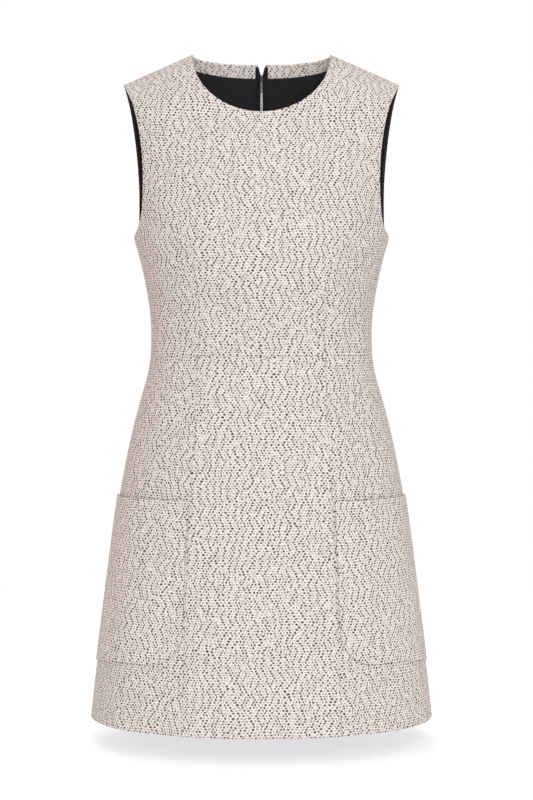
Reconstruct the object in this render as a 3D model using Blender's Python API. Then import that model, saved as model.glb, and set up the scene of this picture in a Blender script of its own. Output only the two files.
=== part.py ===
"""A sleeveless a-line dress: tweed panels, a black bodice lining, two patch pockets and a back zip.

The dress keeps the hollow form of a general figure. It faces -Y, its left side is at +X, and the
origin lies midway between the shoulder seams. Lengths are in metres.

The outer face is one rule: a table of level sections gives its shape round the body, and a ridge
rule folds it over the shoulders. A place on it is (turn, height): turn is the angle round the
section, 0 on the centre line and a quarter circle at the side seam. Each piece is an outline on
that face, filled with triangles and given its thickness.
"""

import math
from collections import namedtuple

import bmesh
import bpy
import numpy as np
from mathutils import Matrix, Vector
from mathutils.geometry import delaunay_2d_cdt

FRONT, BACK = -1, 1
SIDE = math.pi / 2

# Cloth
TWEED = 0.0016  # wall of the tweed
LINING = 0.0010  # wall of the lining and of the zip tape
GAP = 0.0003  # room between any two pieces
LOOSE_GAP = 0.0005  # room round the lining and the facings
INSIDE = -TWEED - LOOSE_GAP  # where the lining's and the facings' outer faces lie

# Levels, up the centre of the body
HEM = -0.8235
POCKET_MOUTH = -0.5425
POCKET_FOOT = -0.742
POCKET_FOOT_AT_SIDE = -0.755
WAIST = -0.366
UNDERARM = -0.2156
PRINCESS_TOP = -0.145
FRONT_NECK = -0.0616
BACK_NECK = 0.0135

# Neck and shoulders
NECK_HALF_WIDTH = 0.088
NECK_POINT = 0.019  # height of the shoulder seam where it meets the neck
SHOULDER_HALF_WIDTH = 0.1766
SHOULDER_FALL = 0.44  # fall of the shoulder seam for each metre outwards
NECK_RISE = 0.030  # how far the ridge would rise from the neck point to the middle of the neck
RIDGE_REACH = 0.100  # how far below the shoulder seam its rounding ends
RIDGE_ARC = 0.130  # length of that rounding over the surface
RIDGE_POWER = 2.0
FACING_DEPTH = 0.0157  # height of the facing band inside the neck

# Pockets
POCKET_INSET = 0.002  # from the princess seam to the pocket's inner edge
POCKET_CORNER = 0.045  # radius of the lower inner corner
POCKET_GAPE = 0.0018  # how far the mouth stands off where it gapes most
POCKET_GAPE_INNER = 0.12  # the part of half a wave where the gape starts, at the inner edge
POCKET_GAPE_OUTER = 0.82  # and where it ends, at the side seam

# Zip, all half widths from the centre back
ZIP_SLOT = 0.0045  # tweed edge
ZIP_TAPE_INNER = 0.0024
ZIP_TAPE_OUTER = 0.0077
ZIP_LINING_EDGE = 0.0080
ZIP_CHAIN = 0.0021
ZIP_CHAIN_WALL = 0.0024
ZIP_CHAIN_SINK = 0.0012  # the teeth lie this far below the tweed's outer face
ZIP_TAPE_TOP = 0.0122
ZIP_TAPE_SPREAD = 0.0015  # how much wider apart the tapes are at their tops
ZIP_FORK = 0.0030  # height where the two tapes part
ZIP_END = -0.4920
ZIP_SLOT_END = -0.5040
CHAIN_STEP = 0.004  # least length of the chain's first step

SLIDER_LENGTH = 0.0095
SLIDER_PLATE = 0.0035  # half width of the outer plate
SLIDER_TOP_FACE = 0.0004  # the outer plate's face, above the tweed's outer face
SLIDER_PLATE_WALL = 0.0013
SLIDER_INNER_DEPTH = 0.0046
SLIDER_BEVEL = 0.0003
BRIDGE_LENGTH = 0.0060
BRIDGE_HEIGHT = 0.0027
BRIDGE_WIDTH = 0.0014
BRIDGE_WALL = 0.0007
BRIDGE_BEVEL = 0.0002
BRIDGE_SINK = 0.0009  # how far the bridge and the core run into the outer plate
EYE_FLOOR = 0.00005  # from the outer plate's face to the eye's lower edge
PULL_LENGTH = 0.0230
PULL_HALF_WIDTH = 0.0026
PULL_WALL = 0.0010
PULL_BEVEL = 0.0002
PULL_BAR = 0.0010  # height of the bar that goes under the bridge
PULL_WINDOW = 0.0050
PULL_WINDOW_HALF_WIDTH = 0.0013
PULL_PIVOT = 0.0009  # the bar's middle, above the outer plate's face

# Triangles
BODICE_STEP = 0.023
SKIRT_STEP = 0.032
CLEAR_SHARE = 0.45  # the part of a step that inner points keep from a piece's edges
SAME_PLACE = 1e-7
WRAP = 0.16  # metres of the flat plan for each radian of turn
FINE_COUNT = 300  # steps from which a curved line's even steps are picked
NECK_COUNT = 7

Section = namedtuple("Section", "height half_width front back squareness")
SECTIONS = [
    Section(-0.8235, 0.2174, 0.160, 0.160, 2.15),
    Section(-0.7560, 0.2100, 0.154, 0.155, 2.15),
    Section(-0.6530, 0.1970, 0.144, 0.147, 2.15),
    Section(-0.5510, 0.1825, 0.134, 0.136, 2.15),
    Section(-0.4740, 0.1677, 0.123, 0.120, 2.15),
    Section(-0.4230, 0.1549, 0.114, 0.104, 2.15),
    Section(-0.3930, 0.1462, 0.109, 0.096, 2.15),
    Section(-0.3660, 0.1416, 0.105, 0.091, 2.20),
    Section(-0.3200, 0.1414, 0.112, 0.093, 2.25),
    Section(-0.2800, 0.1470, 0.123, 0.100, 2.30),
    Section(-0.2440, 0.1549, 0.1285, 0.107, 2.30),
    Section(-0.2156, 0.1625, 0.1265, 0.111, 2.30),
    Section(-0.1600, 0.1680, 0.112, 0.113, 2.30),
    Section(-0.1100, 0.1740, 0.092, 0.108, 2.25),
    Section(-0.0600, 0.1830, 0.0725, 0.095, 2.20),
    Section(-0.0200, 0.1930, 0.062, 0.078, 2.20),
    Section(0.0200, 0.2030, 0.056, 0.066, 2.20),
]

Armhole = namedtuple("Armhole", "height front back")
ARMHOLE = [
    Armhole(-0.2156, 0.1625, 0.1625),
    Armhole(-0.2050, 0.1555, 0.1600),
    Armhole(-0.1800, 0.1500, 0.1595),
    Armhole(-0.1450, 0.1486, 0.1602),
    Armhole(-0.1100, 0.1505, 0.1627),
    Armhole(-0.0750, 0.1560, 0.1665),
    Armhole(-0.0450, 0.1645, 0.1710),
    Armhole(-0.0200, 0.1766, 0.1766),
]

Princess = namedtuple("Princess", "height x")
PRINCESS = [
    Princess(-0.8235, 0.0965),
    Princess(-0.6500, 0.0915),
    Princess(-0.5425, 0.0868),
    Princess(-0.4500, 0.0815),
    Princess(-0.3660, 0.0787),
    Princess(-0.3340, 0.0762),
    Princess(-0.2970, 0.0770),
    Princess(-0.2600, 0.0840),
    Princess(-0.2170, 0.1043),
    Princess(-0.1830, 0.1245),
    Princess(-0.1450, 0.1486),
]

Finish = namedtuple("Finish", "color roughness metallic")
FINISHES = {
    "tweed": Finish((0.66, 0.58, 0.56, 1), 0.95, 0),
    "lining": Finish((0.012, 0.012, 0.016, 1), 0.5, 0),
    "tape": Finish((0.010, 0.010, 0.012, 1), 0.85, 0),
    "zip_metal": Finish((0.62, 0.61, 0.59, 1), 0.32, 1),
}


def smooth_row(rows, at):
    """The columns of a table at any value of its first one, on a smooth curve through its rows."""
    at = min(max(at, rows[0][0]), rows[-1][0])
    i = next(k for k in range(1, len(rows)) if at <= rows[k][0])
    low, high = rows[i - 1], rows[i]
    before, after = rows[max(i - 2, 0)], rows[min(i + 1, len(rows) - 1)]
    span = high[0] - low[0]
    t = (at - low[0]) / span
    values = []
    for a, b, c, d in list(zip(before, low, high, after))[1:]:
        leave = (c - a) / (high[0] - before[0]) * span
        arrive = (d - b) / (after[0] - low[0]) * span
        curve = (2 * b - 2 * c + leave + arrive) * t**3 + (3 * c - 3 * b - 2 * leave - arrive) * t**2
        values.append(curve + leave * t + b)
    return type(low)(at, *values)


def spread(start, end, count):
    return [start + (end - start) * k / count for k in range(count + 1)]


# The outer face


def ridge_height(x):
    """Where the front and the back meet: along the shoulder seam, then on over the open neck."""
    beyond = abs(x) - NECK_HALF_WIDTH
    if beyond > 0:
        return NECK_POINT - beyond * SHOULDER_FALL
    return NECK_POINT + NECK_RISE * (1 - (x / NECK_HALF_WIDTH) ** 2)


def section_x(turn, height):
    row = smooth_row(SECTIONS, height)
    return math.copysign(row.half_width * abs(math.sin(turn)) ** (2 / row.squareness), turn)


def turn_at(x, height):
    row = smooth_row(SECTIONS, height)
    share = min(abs(x) / row.half_width, 1)
    return math.copysign(math.asin(share ** (row.squareness / 2)), x)


def face_point(turn, height, side):
    """A point of the outer face. Above the ridge it goes on down the other side, so it has a slope there."""
    row = smooth_row(SECTIONS, height)
    x = section_x(turn, height)
    depth = row.front if side == FRONT else row.back
    y = side * depth * max(math.cos(turn), 0) ** (2 / row.squareness)
    drop = (ridge_height(x) - height) / RIDGE_REACH
    if abs(drop) < 1:
        y *= math.copysign((1 - (1 - abs(drop)) ** RIDGE_POWER) ** (1 / RIDGE_POWER), drop)
    return np.array((x, y, height))


def face_normal(turn, height, side, step=1e-6):
    """The outward direction. Its sideways slope is taken at one depth under the ridge."""
    drop = ridge_height(section_x(turn, height)) - height

    def beside(way):
        if abs(turn) + step > SIDE and way * turn > 0:
            return face_point(math.copysign(SIDE - step, turn), height, -side)
        level = height
        for _ in range(6):
            level = ridge_height(section_x(turn + way * step, level)) - drop
        return face_point(turn + way * step, level, side)

    across = beside(1) - beside(-1)
    up = face_point(turn, height + step, side) - face_point(turn, height - step, side)
    normal = np.cross(across, up) * -side
    return normal / np.linalg.norm(normal)


# The flat plan in which outlines are filled


def to_plan(turn, height):
    ridge = ridge_height(section_x(turn, height))
    drop = max((ridge - height) / RIDGE_REACH, 0)
    if drop < 1:
        level = ridge - RIDGE_REACH + RIDGE_ARC * (1 - math.acos(1 - drop) / SIDE)
    else:
        level = height
    return turn * WRAP, level


def from_plan(across, level):
    turn = across / WRAP
    height = level
    for _ in range(8):
        ridge = ridge_height(section_x(turn, height))
        above = (level - ridge + RIDGE_REACH) / RIDGE_ARC
        if above <= 0:
            height = level
        else:
            height = ridge - RIDGE_REACH * (1 - math.cos(SIDE * (1 - min(above, 1))))
    return turn, height


def clearances(points, edges):
    """How far each point of the plan is from the nearest of the edges."""
    starts, ends = np.array([a for a, _ in edges]), np.array([b for _, b in edges])
    runs = ends - starts
    offsets = points[:, None] - starts
    along = np.clip((offsets * runs).sum(2) / (runs**2).sum(1), 0, 1)
    return np.linalg.norm(offsets - along[..., None] * runs, axis=2).min(1)


def inside(points, loop):
    crossings = np.zeros(len(points), int)
    for a, b in zip(loop, loop[1:] + loop[:1]):
        spans = (a[1] > points[:, 1]) != (b[1] > points[:, 1])
        rise = b[1] - a[1] if b[1] != a[1] else 1
        at = a[0] + (points[:, 1] - a[1]) * (b[0] - a[0]) / rise
        crossings += spans & (points[:, 0] < at)
    return crossings % 2 == 1


Sheet = namedtuple("Sheet", "points normals triangles")


def same(place, other):
    return math.dist(place, other) < SAME_PLACE


def fill(outline, side, step, guides=()):
    """A sheet of triangles inside an outline of (turn, height) places, anticlockwise seen from the front.

    Guides are lines that the triangles keep to, so a piece cut along one has the same triangles.
    """
    places = list(outline)
    edges = [(k, (k + 1) % len(outline)) for k in range(len(outline))]
    for guide in guides:
        stops = []
        for place in guide:
            known = [k for k, other in enumerate(places) if same(place, other)]
            if not known:
                places.append(place)
            stops.append(known[0] if known else len(places) - 1)
        edges += list(zip(stops, stops[1:]))
    plan = [to_plan(*place) for place in places]
    low, high = np.min(plan, axis=0), np.max(plan, axis=0)
    row_step = step * math.sqrt(3) / 2
    lattice = []
    for row in range(math.floor(low[1] / row_step), math.ceil(high[1] / row_step) + 1):
        first = math.floor(low[0] / step) - 1
        last = math.ceil(high[0] / step) + 1
        lattice += [((column + row % 2 / 2) * step, row * row_step) for column in range(first, last)]
    lattice = np.array(lattice)
    free = clearances(lattice, [(plan[a], plan[b]) for a, b in edges]) > CLEAR_SHARE * step
    free &= inside(lattice, plan[: len(outline)])
    lattice = lattice[free]
    plan += [tuple(p) for p in lattice]
    places += [from_plan(*p) for p in lattice]
    loop = list(range(len(outline)))
    found = delaunay_2d_cdt([Vector(p) for p in plan], edges[len(outline):], [loop], 1, SAME_PLACE)
    kept = [places[origin[0]] for origin in found[3]]
    triangles = [tuple(face) if side == FRONT else tuple(reversed(face)) for face in found[2]]
    points = [face_point(*place, side) for place in kept]
    normals = [face_normal(*place, side) for place in kept]
    return Sheet(points, normals, triangles)


def mirrored(sheet):
    flip = np.array((-1, 1, 1))
    turned = [tuple(reversed(face)) for face in sheet.triangles]
    return Sheet([p * flip for p in sheet.points], [n * flip for n in sheet.normals], turned)


def joined(sheets):
    """One sheet from several that share points along their seams."""
    index, points, normals, triangles = {}, [], [], []
    for sheet in sheets:
        places = []
        for point, normal in zip(sheet.points, sheet.normals):
            key = tuple(np.round(point, 6) + 0.0)
            if key not in index:
                index[key] = len(points)
                points.append(point)
                normals.append(normal)
            places.append(index[key])
        triangles += [tuple(places[k] for k in face) for face in sheet.triangles]
    return Sheet(points, normals, triangles)


def free_edges(triangles):
    """Each free edge once, in the direction that keeps the sheet on its left."""
    edges = {(a, b) for face in triangles for a, b in zip(face, face[1:] + face[:1])}
    return [edge for edge in sorted(edges) if edge[::-1] not in edges]


def trimmed(sheet, edges, gap):
    """The sheet's points with its free edge drawn in by half of the seam gap."""
    points = [point.copy() for point in sheet.points]
    inward = {}
    for a, b in edges:
        run = sheet.points[b] - sheet.points[a]
        for k in (a, b):
            across = np.cross(sheet.normals[k], run)
            inward.setdefault(k, []).append(across / np.linalg.norm(across))
    for k, ways in inward.items():
        points[k] += (ways[0] + ways[1]) / (1 + max(ways[0] @ ways[1], -0.5)) * gap / 2
    return points


# Blender objects


def material(name):
    if name in bpy.data.materials:
        return bpy.data.materials[name]
    finish = FINISHES[name]
    made = bpy.data.materials.new(name)
    made.use_nodes = True
    shader = made.node_tree.nodes["Principled BSDF"]
    shader.inputs["Base Color"].default_value = finish.color
    shader.inputs["Roughness"].default_value = finish.roughness
    shader.inputs["Metallic"].default_value = finish.metallic
    made.diffuse_color = finish.color
    return made


def add_object(name, mesh, finish, smooth_angle=35):
    mesh.materials.append(material(finish))
    mesh.shade_smooth()
    mesh.set_sharp_from_angle(angle=math.radians(smooth_angle))
    made = bpy.data.objects.new(name, mesh)
    bpy.context.scene.collection.objects.link(made)
    return made


def cloth(name, sheet, finish, wall, out=0.0, gap=GAP, lift=None):
    """A closed wall on a sheet. Its outer face is moved out, and a lift gives each point its own share."""
    edges = free_edges(sheet.triangles)
    points = trimmed(sheet, edges, gap)
    rise = [out + (lift(point) if lift else 0) for point in sheet.points]
    outer = [point + normal * r for point, normal, r in zip(points, sheet.normals, rise)]
    inner = [point + normal * (r - wall) for point, normal, r in zip(points, sheet.normals, rise)]
    count = len(points)
    faces = list(sheet.triangles)
    faces += [tuple(k + count for k in reversed(face)) for face in sheet.triangles]
    faces += [(b, a, a + count, b + count) for a, b in edges]
    mesh = bpy.data.meshes.new(name)
    mesh.from_pydata([tuple(p) for p in outer + inner], [], faces)
    return add_object(name, mesh, finish)


def sided(name, sheet, *shape, **more):
    """A left piece and its mirror image on the right."""
    cloth(name + "_left", sheet, *shape, **more)
    cloth(name + "_right", mirrored(sheet), *shape, **more)


# Lines that the pieces are cut along, each a list of (turn, height) places


def princess_line(levels):
    return [(turn_at(smooth_row(PRINCESS, level).x, level), level) for level in levels]


def side_line(levels):
    return [(SIDE, level) for level in levels]


def centre_line(levels, x=0.0):
    return [(turn_at(x, level), level) for level in levels]


def level_line(level, start, end, count):
    return [(turn, level) for turn in spread(start, end, count)]


def evenly(line, count):
    """The places of a fine line that are nearest to even steps along it in the flat plan."""
    plan = [to_plan(*place) for place in line]
    runs = np.cumsum([0] + [math.dist(a, b) for a, b in zip(plan, plan[1:])])
    return [line[int(np.abs(runs - stop).argmin())] for stop in spread(0, runs[-1], count)]


def armhole_line(column, bottom, top, count):
    line = []
    for angle in spread(0, math.pi, FINE_COUNT):
        level = bottom + (top - bottom) * (1 - math.cos(angle)) / 2
        x = getattr(smooth_row(ARMHOLE, level), column)
        line.append((SIDE if level <= UNDERARM else turn_at(x, level), level))
    return evenly(line, count)


def neck_line(bottom, half_width, start=0.0):
    """From the centre line, or a little beside it, up to the shoulder seam, on a quarter of an ellipse."""
    top = ridge_height(half_width)
    line = []
    for angle in spread(0, SIDE, FINE_COUNT):
        x = half_width * math.sin(angle)
        height = top - (top - bottom) * math.cos(angle)
        line.append((turn_at(x, height), height))
    line = evenly(line, NECK_COUNT)
    if start:
        line[0] = (turn_at(start, bottom), bottom)
    return line


def shoulder_line(start, count):
    line = []
    for x in spread(start, SHOULDER_HALF_WIDTH, count):
        line.append((turn_at(x, ridge_height(x)), ridge_height(x)))
    return line


def chain(*lines):
    """Lines end to end, with the places where two of them meet kept once."""
    places = []
    for line in lines:
        for place in line:
            if not places or not same(place, places[-1]):
                places.append(place)
    if same(places[0], places[-1]):
        places.pop()
    return places


def both_sides(half):
    """A closed outline across the centre line, from its left half, which starts and ends on that line."""
    other = [(-turn, height) for turn, height in reversed(half)]
    return chain(half, other)


BODICE_LEVELS = spread(WAIST, UNDERARM, 7)
PRINCESS_LEVELS = spread(WAIST, PRINCESS_TOP, 9)
SHOULDER_TIP = ARMHOLE[-1].height
SKIRT_LEVELS = (
    spread(WAIST, POCKET_MOUTH, 6)
    + spread(POCKET_MOUTH, POCKET_FOOT_AT_SIDE, 7)[1:]
    + spread(POCKET_FOOT_AT_SIDE, HEM, 2)[1:]
)
ZIP_LEVELS = spread(ZIP_FORK, WAIST, 16) + spread(WAIST, ZIP_END, 5)[1:]
PRINCESS_AT_WAIST = princess_line([WAIST])[0][0]
PRINCESS_AT_HEM = princess_line([HEM])[0][0]
FRONT_COLUMNS, SIDE_COLUMNS, BACK_COLUMNS = 4, 5, 9


def facing_half_width():
    """Where the facing's lower edge meets the shoulder seam."""
    return NECK_HALF_WIDTH + FACING_DEPTH / math.hypot(1, SHOULDER_FALL)


def shoulder_places():
    """The shoulder seam, with a place where the facing's lower edge meets it."""
    inner = facing_half_width()
    near = [(turn_at(x, ridge_height(x)), ridge_height(x)) for x in (NECK_HALF_WIDTH, inner)]
    return chain(near, shoulder_line(inner, 3))


def front_centre_half(neck, shoulder):
    """The left half of the front centre's outline: along the waist, up the side and back along the neck."""
    waist = level_line(WAIST, 0, PRINCESS_AT_WAIST, FRONT_COLUMNS)
    rise = chain(princess_line(PRINCESS_LEVELS), armhole_line("front", PRINCESS_TOP, SHOULDER_TIP, 8))
    return chain(waist, rise, list(reversed(shoulder)), list(reversed(neck)))


def add_bodice_front():
    shoulder = shoulder_places()
    neck = neck_line(FRONT_NECK, NECK_HALF_WIDTH)
    band = neck_line(FRONT_NECK - FACING_DEPTH, facing_half_width())
    band_across = chain(band[::-1], [(-turn, height) for turn, height in band])
    centre = fill(both_sides(front_centre_half(neck, shoulder)), FRONT, BODICE_STEP, [band_across])
    cloth("bodice_front_centre", centre, "tweed", TWEED)
    side = chain(
        level_line(WAIST, PRINCESS_AT_WAIST, SIDE, SIDE_COLUMNS),
        side_line(BODICE_LEVELS),
        armhole_line("front", UNDERARM, PRINCESS_TOP, 5),
        princess_line(PRINCESS_LEVELS[::-1]),
    )
    side_sheet = fill(side, FRONT, BODICE_STEP)
    sided("bodice_front_side", side_sheet, "tweed", TWEED)

    inner = fill(both_sides(front_centre_half(band, shoulder[1:])), FRONT, BODICE_STEP)
    lining = joined([inner, side_sheet, mirrored(side_sheet)])
    cloth("lining_front", lining, "lining", LINING, INSIDE, LOOSE_GAP)
    strip = chain(band, shoulder[1::-1], neck[::-1])
    facing = fill(both_sides(strip), FRONT, BODICE_STEP)
    cloth("neck_facing_front", facing, "tweed", LINING, INSIDE, LOOSE_GAP)


def add_bodice_back():
    shoulder = shoulder_places()

    def outline(neck, top, edge):
        levels = [level for level in ZIP_LEVELS if level >= WAIST]
        foot = level_line(WAIST, turn_at(edge, WAIST), SIDE, BACK_COLUMNS)
        armhole = armhole_line("back", UNDERARM, SHOULDER_TIP, 12)
        down = centre_line([level for level in levels if level < neck[0][1]], edge)
        return chain(foot, side_line(BODICE_LEVELS), armhole, top[::-1], neck[::-1], down)

    band_foot, band_width = BACK_NECK - FACING_DEPTH, facing_half_width()
    neck = neck_line(BACK_NECK, NECK_HALF_WIDTH, ZIP_SLOT)
    inner_neck = neck_line(BACK_NECK, NECK_HALF_WIDTH, ZIP_LINING_EDGE)
    inner_band = neck_line(band_foot, band_width, ZIP_LINING_EDGE)
    tweed = fill(outline(neck, shoulder, ZIP_SLOT), BACK, BODICE_STEP, [inner_band])
    sided("bodice_back", tweed, "tweed", TWEED)
    lining = fill(outline(inner_band, shoulder[1:], ZIP_LINING_EDGE), BACK, BODICE_STEP)
    sided("lining_back", lining, "lining", LINING, INSIDE, LOOSE_GAP)
    facing = fill(chain(inner_band, shoulder[1::-1], inner_neck[::-1]), BACK, BODICE_STEP)
    sided("neck_facing_back", facing, "tweed", LINING, INSIDE, LOOSE_GAP)


def pocket_outline():
    """Anticlockwise from the lower inner corner's start."""
    inner = [level for level in SKIRT_LEVELS if POCKET_FOOT + POCKET_CORNER < level <= POCKET_MOUTH]
    seam = [(smooth_row(PRINCESS, level).x + POCKET_INSET, level) for level in inner]
    start = smooth_row(PRINCESS, POCKET_FOOT + POCKET_CORNER).x + POCKET_INSET
    corner = []
    for angle in spread(0, SIDE, 5):
        x = start + POCKET_CORNER * (1 - math.cos(angle))
        corner.append((x, POCKET_FOOT + POCKET_CORNER * (1 - math.sin(angle))))
    down = [(turn_at(x, level), level) for x, level in seam + corner]
    foot_turn, foot_height = down[-1]
    foot = []
    for share in spread(0, 1, 4):
        height = foot_height + (POCKET_FOOT_AT_SIDE - foot_height) * share**2
        foot.append((foot_turn + (SIDE - foot_turn) * share, height))
    levels = [level for level in SKIRT_LEVELS if POCKET_FOOT_AT_SIDE <= level <= POCKET_MOUTH]
    mouth = level_line(POCKET_MOUTH, SIDE, down[0][0], 5)
    return chain(down, foot, side_line(levels[::-1]), mouth)


def pocket_lift(point):
    """The mouth stands off the skirt, most of all in its middle."""
    share = (point[2] - POCKET_FOOT) / (POCKET_MOUTH - POCKET_FOOT)
    inner = smooth_row(PRINCESS, POCKET_MOUTH).x + POCKET_INSET
    outer = smooth_row(SECTIONS, POCKET_MOUTH).half_width
    across = min(max((abs(point[0]) - inner) / (outer - inner), 0), 1)
    wave = POCKET_GAPE_INNER + (POCKET_GAPE_OUTER - POCKET_GAPE_INNER) * across
    return POCKET_GAPE * max(share, 0) ** 3 * math.sin(math.pi * wave)


def add_skirt():
    half = chain(
        level_line(HEM, 0, PRINCESS_AT_HEM, FRONT_COLUMNS),
        princess_line(SKIRT_LEVELS[::-1]),
        level_line(WAIST, PRINCESS_AT_WAIST, 0, FRONT_COLUMNS),
    )
    cloth("skirt_front_centre", fill(both_sides(half), FRONT, SKIRT_STEP), "tweed", TWEED)
    side = chain(
        level_line(HEM, PRINCESS_AT_HEM, SIDE, SIDE_COLUMNS),
        side_line(SKIRT_LEVELS[::-1]),
        level_line(WAIST, SIDE, PRINCESS_AT_WAIST, SIDE_COLUMNS),
        princess_line(SKIRT_LEVELS),
    )
    pocket = pocket_outline()
    sided("skirt_front_side", fill(side, FRONT, SKIRT_STEP, [pocket + pocket[:1]]), "tweed", TWEED)
    sided("pocket", fill(pocket, FRONT, SKIRT_STEP), "tweed", TWEED, TWEED + GAP, lift=pocket_lift)

    slot = [level for level in ZIP_LEVELS if level <= WAIST] + [ZIP_SLOT_END]
    slot_line = centre_line(slot[:-1], ZIP_SLOT) + [(0.0, slot[-1])]
    below = centre_line([level for level in SKIRT_LEVELS if level < ZIP_SLOT_END])
    back = chain(
        level_line(HEM, 0, SIDE, BACK_COLUMNS),
        side_line(SKIRT_LEVELS[::-1]),
        level_line(WAIST, SIDE, turn_at(ZIP_SLOT, WAIST), BACK_COLUMNS),
        slot_line,
        below,
    )
    sided("skirt_back", fill(back, BACK, SKIRT_STEP), "tweed", TWEED)


# Zip


def strip(name, levels, inner, outer, finish, out, wall):
    """A narrow wall down the centre back, between two half widths that may change with height."""
    rows = []
    for level in levels:
        rows.append([(math.copysign(turn_at(abs(x), level), x), level) for x in (inner(level), outer(level))])
    places = [place for row in rows for place in row]
    points = [face_point(*place, BACK) for place in places]
    normals = [face_normal(*place, BACK) for place in places]
    triangles = []
    for k in range(0, len(places) - 2, 2):
        triangles += [(k, k + 1, k + 2), (k + 1, k + 3, k + 2)]
    return cloth(name, Sheet(points, normals, triangles), finish, wall, out)


def tape_inner(level):
    above = max(level - ZIP_FORK, 0) / (ZIP_TAPE_TOP - ZIP_FORK)
    return ZIP_TAPE_INNER + ZIP_TAPE_SPREAD * above


def add_zip():
    levels = [ZIP_TAPE_TOP] + ZIP_LEVELS
    for name, way in (("zip_tape_left", 1), ("zip_tape_right", -1)):
        edges = (lambda level: way * tape_inner(level), lambda level: way * ZIP_TAPE_OUTER)
        inner, outer = edges if way > 0 else edges[::-1]
        strip(name, levels, inner, outer, "tape", INSIDE, LINING)
    slider_foot = ZIP_FORK - SLIDER_LENGTH
    chain_levels = [slider_foot - GAP] + [level for level in ZIP_LEVELS if level < slider_foot - CHAIN_STEP]
    strip(
        "zip_chain",
        chain_levels,
        lambda level: -ZIP_CHAIN,
        lambda level: ZIP_CHAIN,
        "zip_metal",
        -ZIP_CHAIN_SINK,
        ZIP_CHAIN_WALL,
    )


def slider_frame():
    """The slider's own axes, from the face at its middle: X across, Y up the zip, Z out of the back."""
    height = ZIP_FORK - SLIDER_LENGTH / 2
    normal = Vector(face_normal(0.0, height, BACK))
    across = Vector((-1, 0, 0))
    up = normal.cross(across)
    axes = Matrix((across, up, normal)).transposed().to_4x4()
    return Matrix.Translation(Vector(face_point(0.0, height, BACK))) @ axes


def block(name, low, high, bevel=0.0):
    """A box between two corners, with its edges bevelled."""
    mesh = bpy.data.meshes.new(name)
    shape = bmesh.new()
    bmesh.ops.create_cube(shape, size=1)
    middle = (Vector(low) + Vector(high)) / 2
    size = Vector(high) - Vector(low)
    for vertex in shape.verts:
        vertex.co = Vector(a * b for a, b in zip(vertex.co, size)) + middle
    if bevel:
        bmesh.ops.bevel(shape, geom=shape.edges[:], offset=bevel, segments=2, affect="EDGES", profile=0.5)
    shape.to_mesh(mesh)
    shape.free()
    return mesh


def helper(name, mesh, place):
    made = bpy.data.objects.new(name, mesh)
    made.matrix_world = place
    made.hide_render = True
    made.display_type = "WIRE"
    bpy.context.scene.collection.objects.link(made)
    return made


def combine(target, other, operation):
    modifier = target.modifiers.new(other.name, "BOOLEAN")
    modifier.operation = operation
    modifier.object = other
    modifier.solver = "EXACT"


def add_slider(place):
    half = SLIDER_LENGTH / 2
    plate_low = SLIDER_TOP_FACE - SLIDER_PLATE_WALL
    corners = ((-SLIDER_PLATE, -half, plate_low), (SLIDER_PLATE, half, SLIDER_TOP_FACE))
    plate = block("zip_slider", *corners, SLIDER_BEVEL)
    slider = add_object("zip_slider", plate, "zip_metal")
    slider.matrix_world = place
    root = SLIDER_TOP_FACE - BRIDGE_SINK
    core = block("slider_core", (-ZIP_CHAIN, -half, -SLIDER_INNER_DEPTH), (ZIP_CHAIN, half, root))
    combine(slider, helper("slider_core", core, place), "UNION")
    reach = BRIDGE_LENGTH / 2
    top = SLIDER_TOP_FACE + BRIDGE_HEIGHT
    width = BRIDGE_WIDTH / 2
    bridge = block("slider_bridge", (-width, -reach, root), (width, reach, top), BRIDGE_BEVEL)
    combine(slider, helper("slider_bridge", bridge, place), "UNION")
    eye_low = (-SLIDER_PLATE, -reach + BRIDGE_WALL, SLIDER_TOP_FACE + EYE_FLOOR)
    eye_high = (SLIDER_PLATE, reach - BRIDGE_WALL, top - BRIDGE_WALL)
    combine(slider, helper("bridge_eye", block("bridge_eye", eye_low, eye_high), place), "DIFFERENCE")


def add_pull(place):
    pivot = place @ Vector((0, 0, SLIDER_TOP_FACE + PULL_PIVOT))
    axes = place.to_3x3().to_4x4()
    own = Matrix.Translation(pivot) @ axes
    wall = PULL_WALL / 2
    low = (-PULL_HALF_WIDTH, PULL_BAR / 2 - PULL_LENGTH, -wall)
    tab = block("zip_pull", low, (PULL_HALF_WIDTH, PULL_BAR / 2, wall), PULL_BEVEL)
    pull = add_object("zip_pull", tab, "zip_metal")
    pull.matrix_world = own
    window_low = (-PULL_WINDOW_HALF_WIDTH, -PULL_BAR / 2 - PULL_WINDOW, -PULL_WALL)
    window_high = (PULL_WINDOW_HALF_WIDTH, -PULL_BAR / 2, PULL_WALL)
    combine(pull, helper("pull_window", block("pull_window", window_low, window_high), own), "DIFFERENCE")


def clear_scene():
    for found in list(bpy.data.objects):
        bpy.data.objects.remove(found, do_unlink=True)


def main():
    clear_scene()
    add_bodice_front()
    add_bodice_back()
    add_skirt()
    add_zip()
    place = slider_frame()
    add_slider(place)
    add_pull(place)


main()
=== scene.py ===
# %% [markdown]
# # A sleeveless a-line dress in tweed
#
# The frame gives the dress as plain closed solids: where every panel, pocket and zip part is, and how
# large. This lesson sews the same dress again in thin cloth. Each panel is one curved sheet with a
# real wall, soft creases, turned edges and seams that pull in. The tweed is a shader that weaves
# itself from yarns, the lining is black satin, and the zip gets its teeth.
#
# All lengths are in metres. The dress faces -Y, and +X is its own left side.

# %% Setting up
import math

import bmesh
import bpy
import numpy as np
from mathutils import Matrix, Vector
from mathutils.geometry import delaunay_2d_cdt


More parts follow.
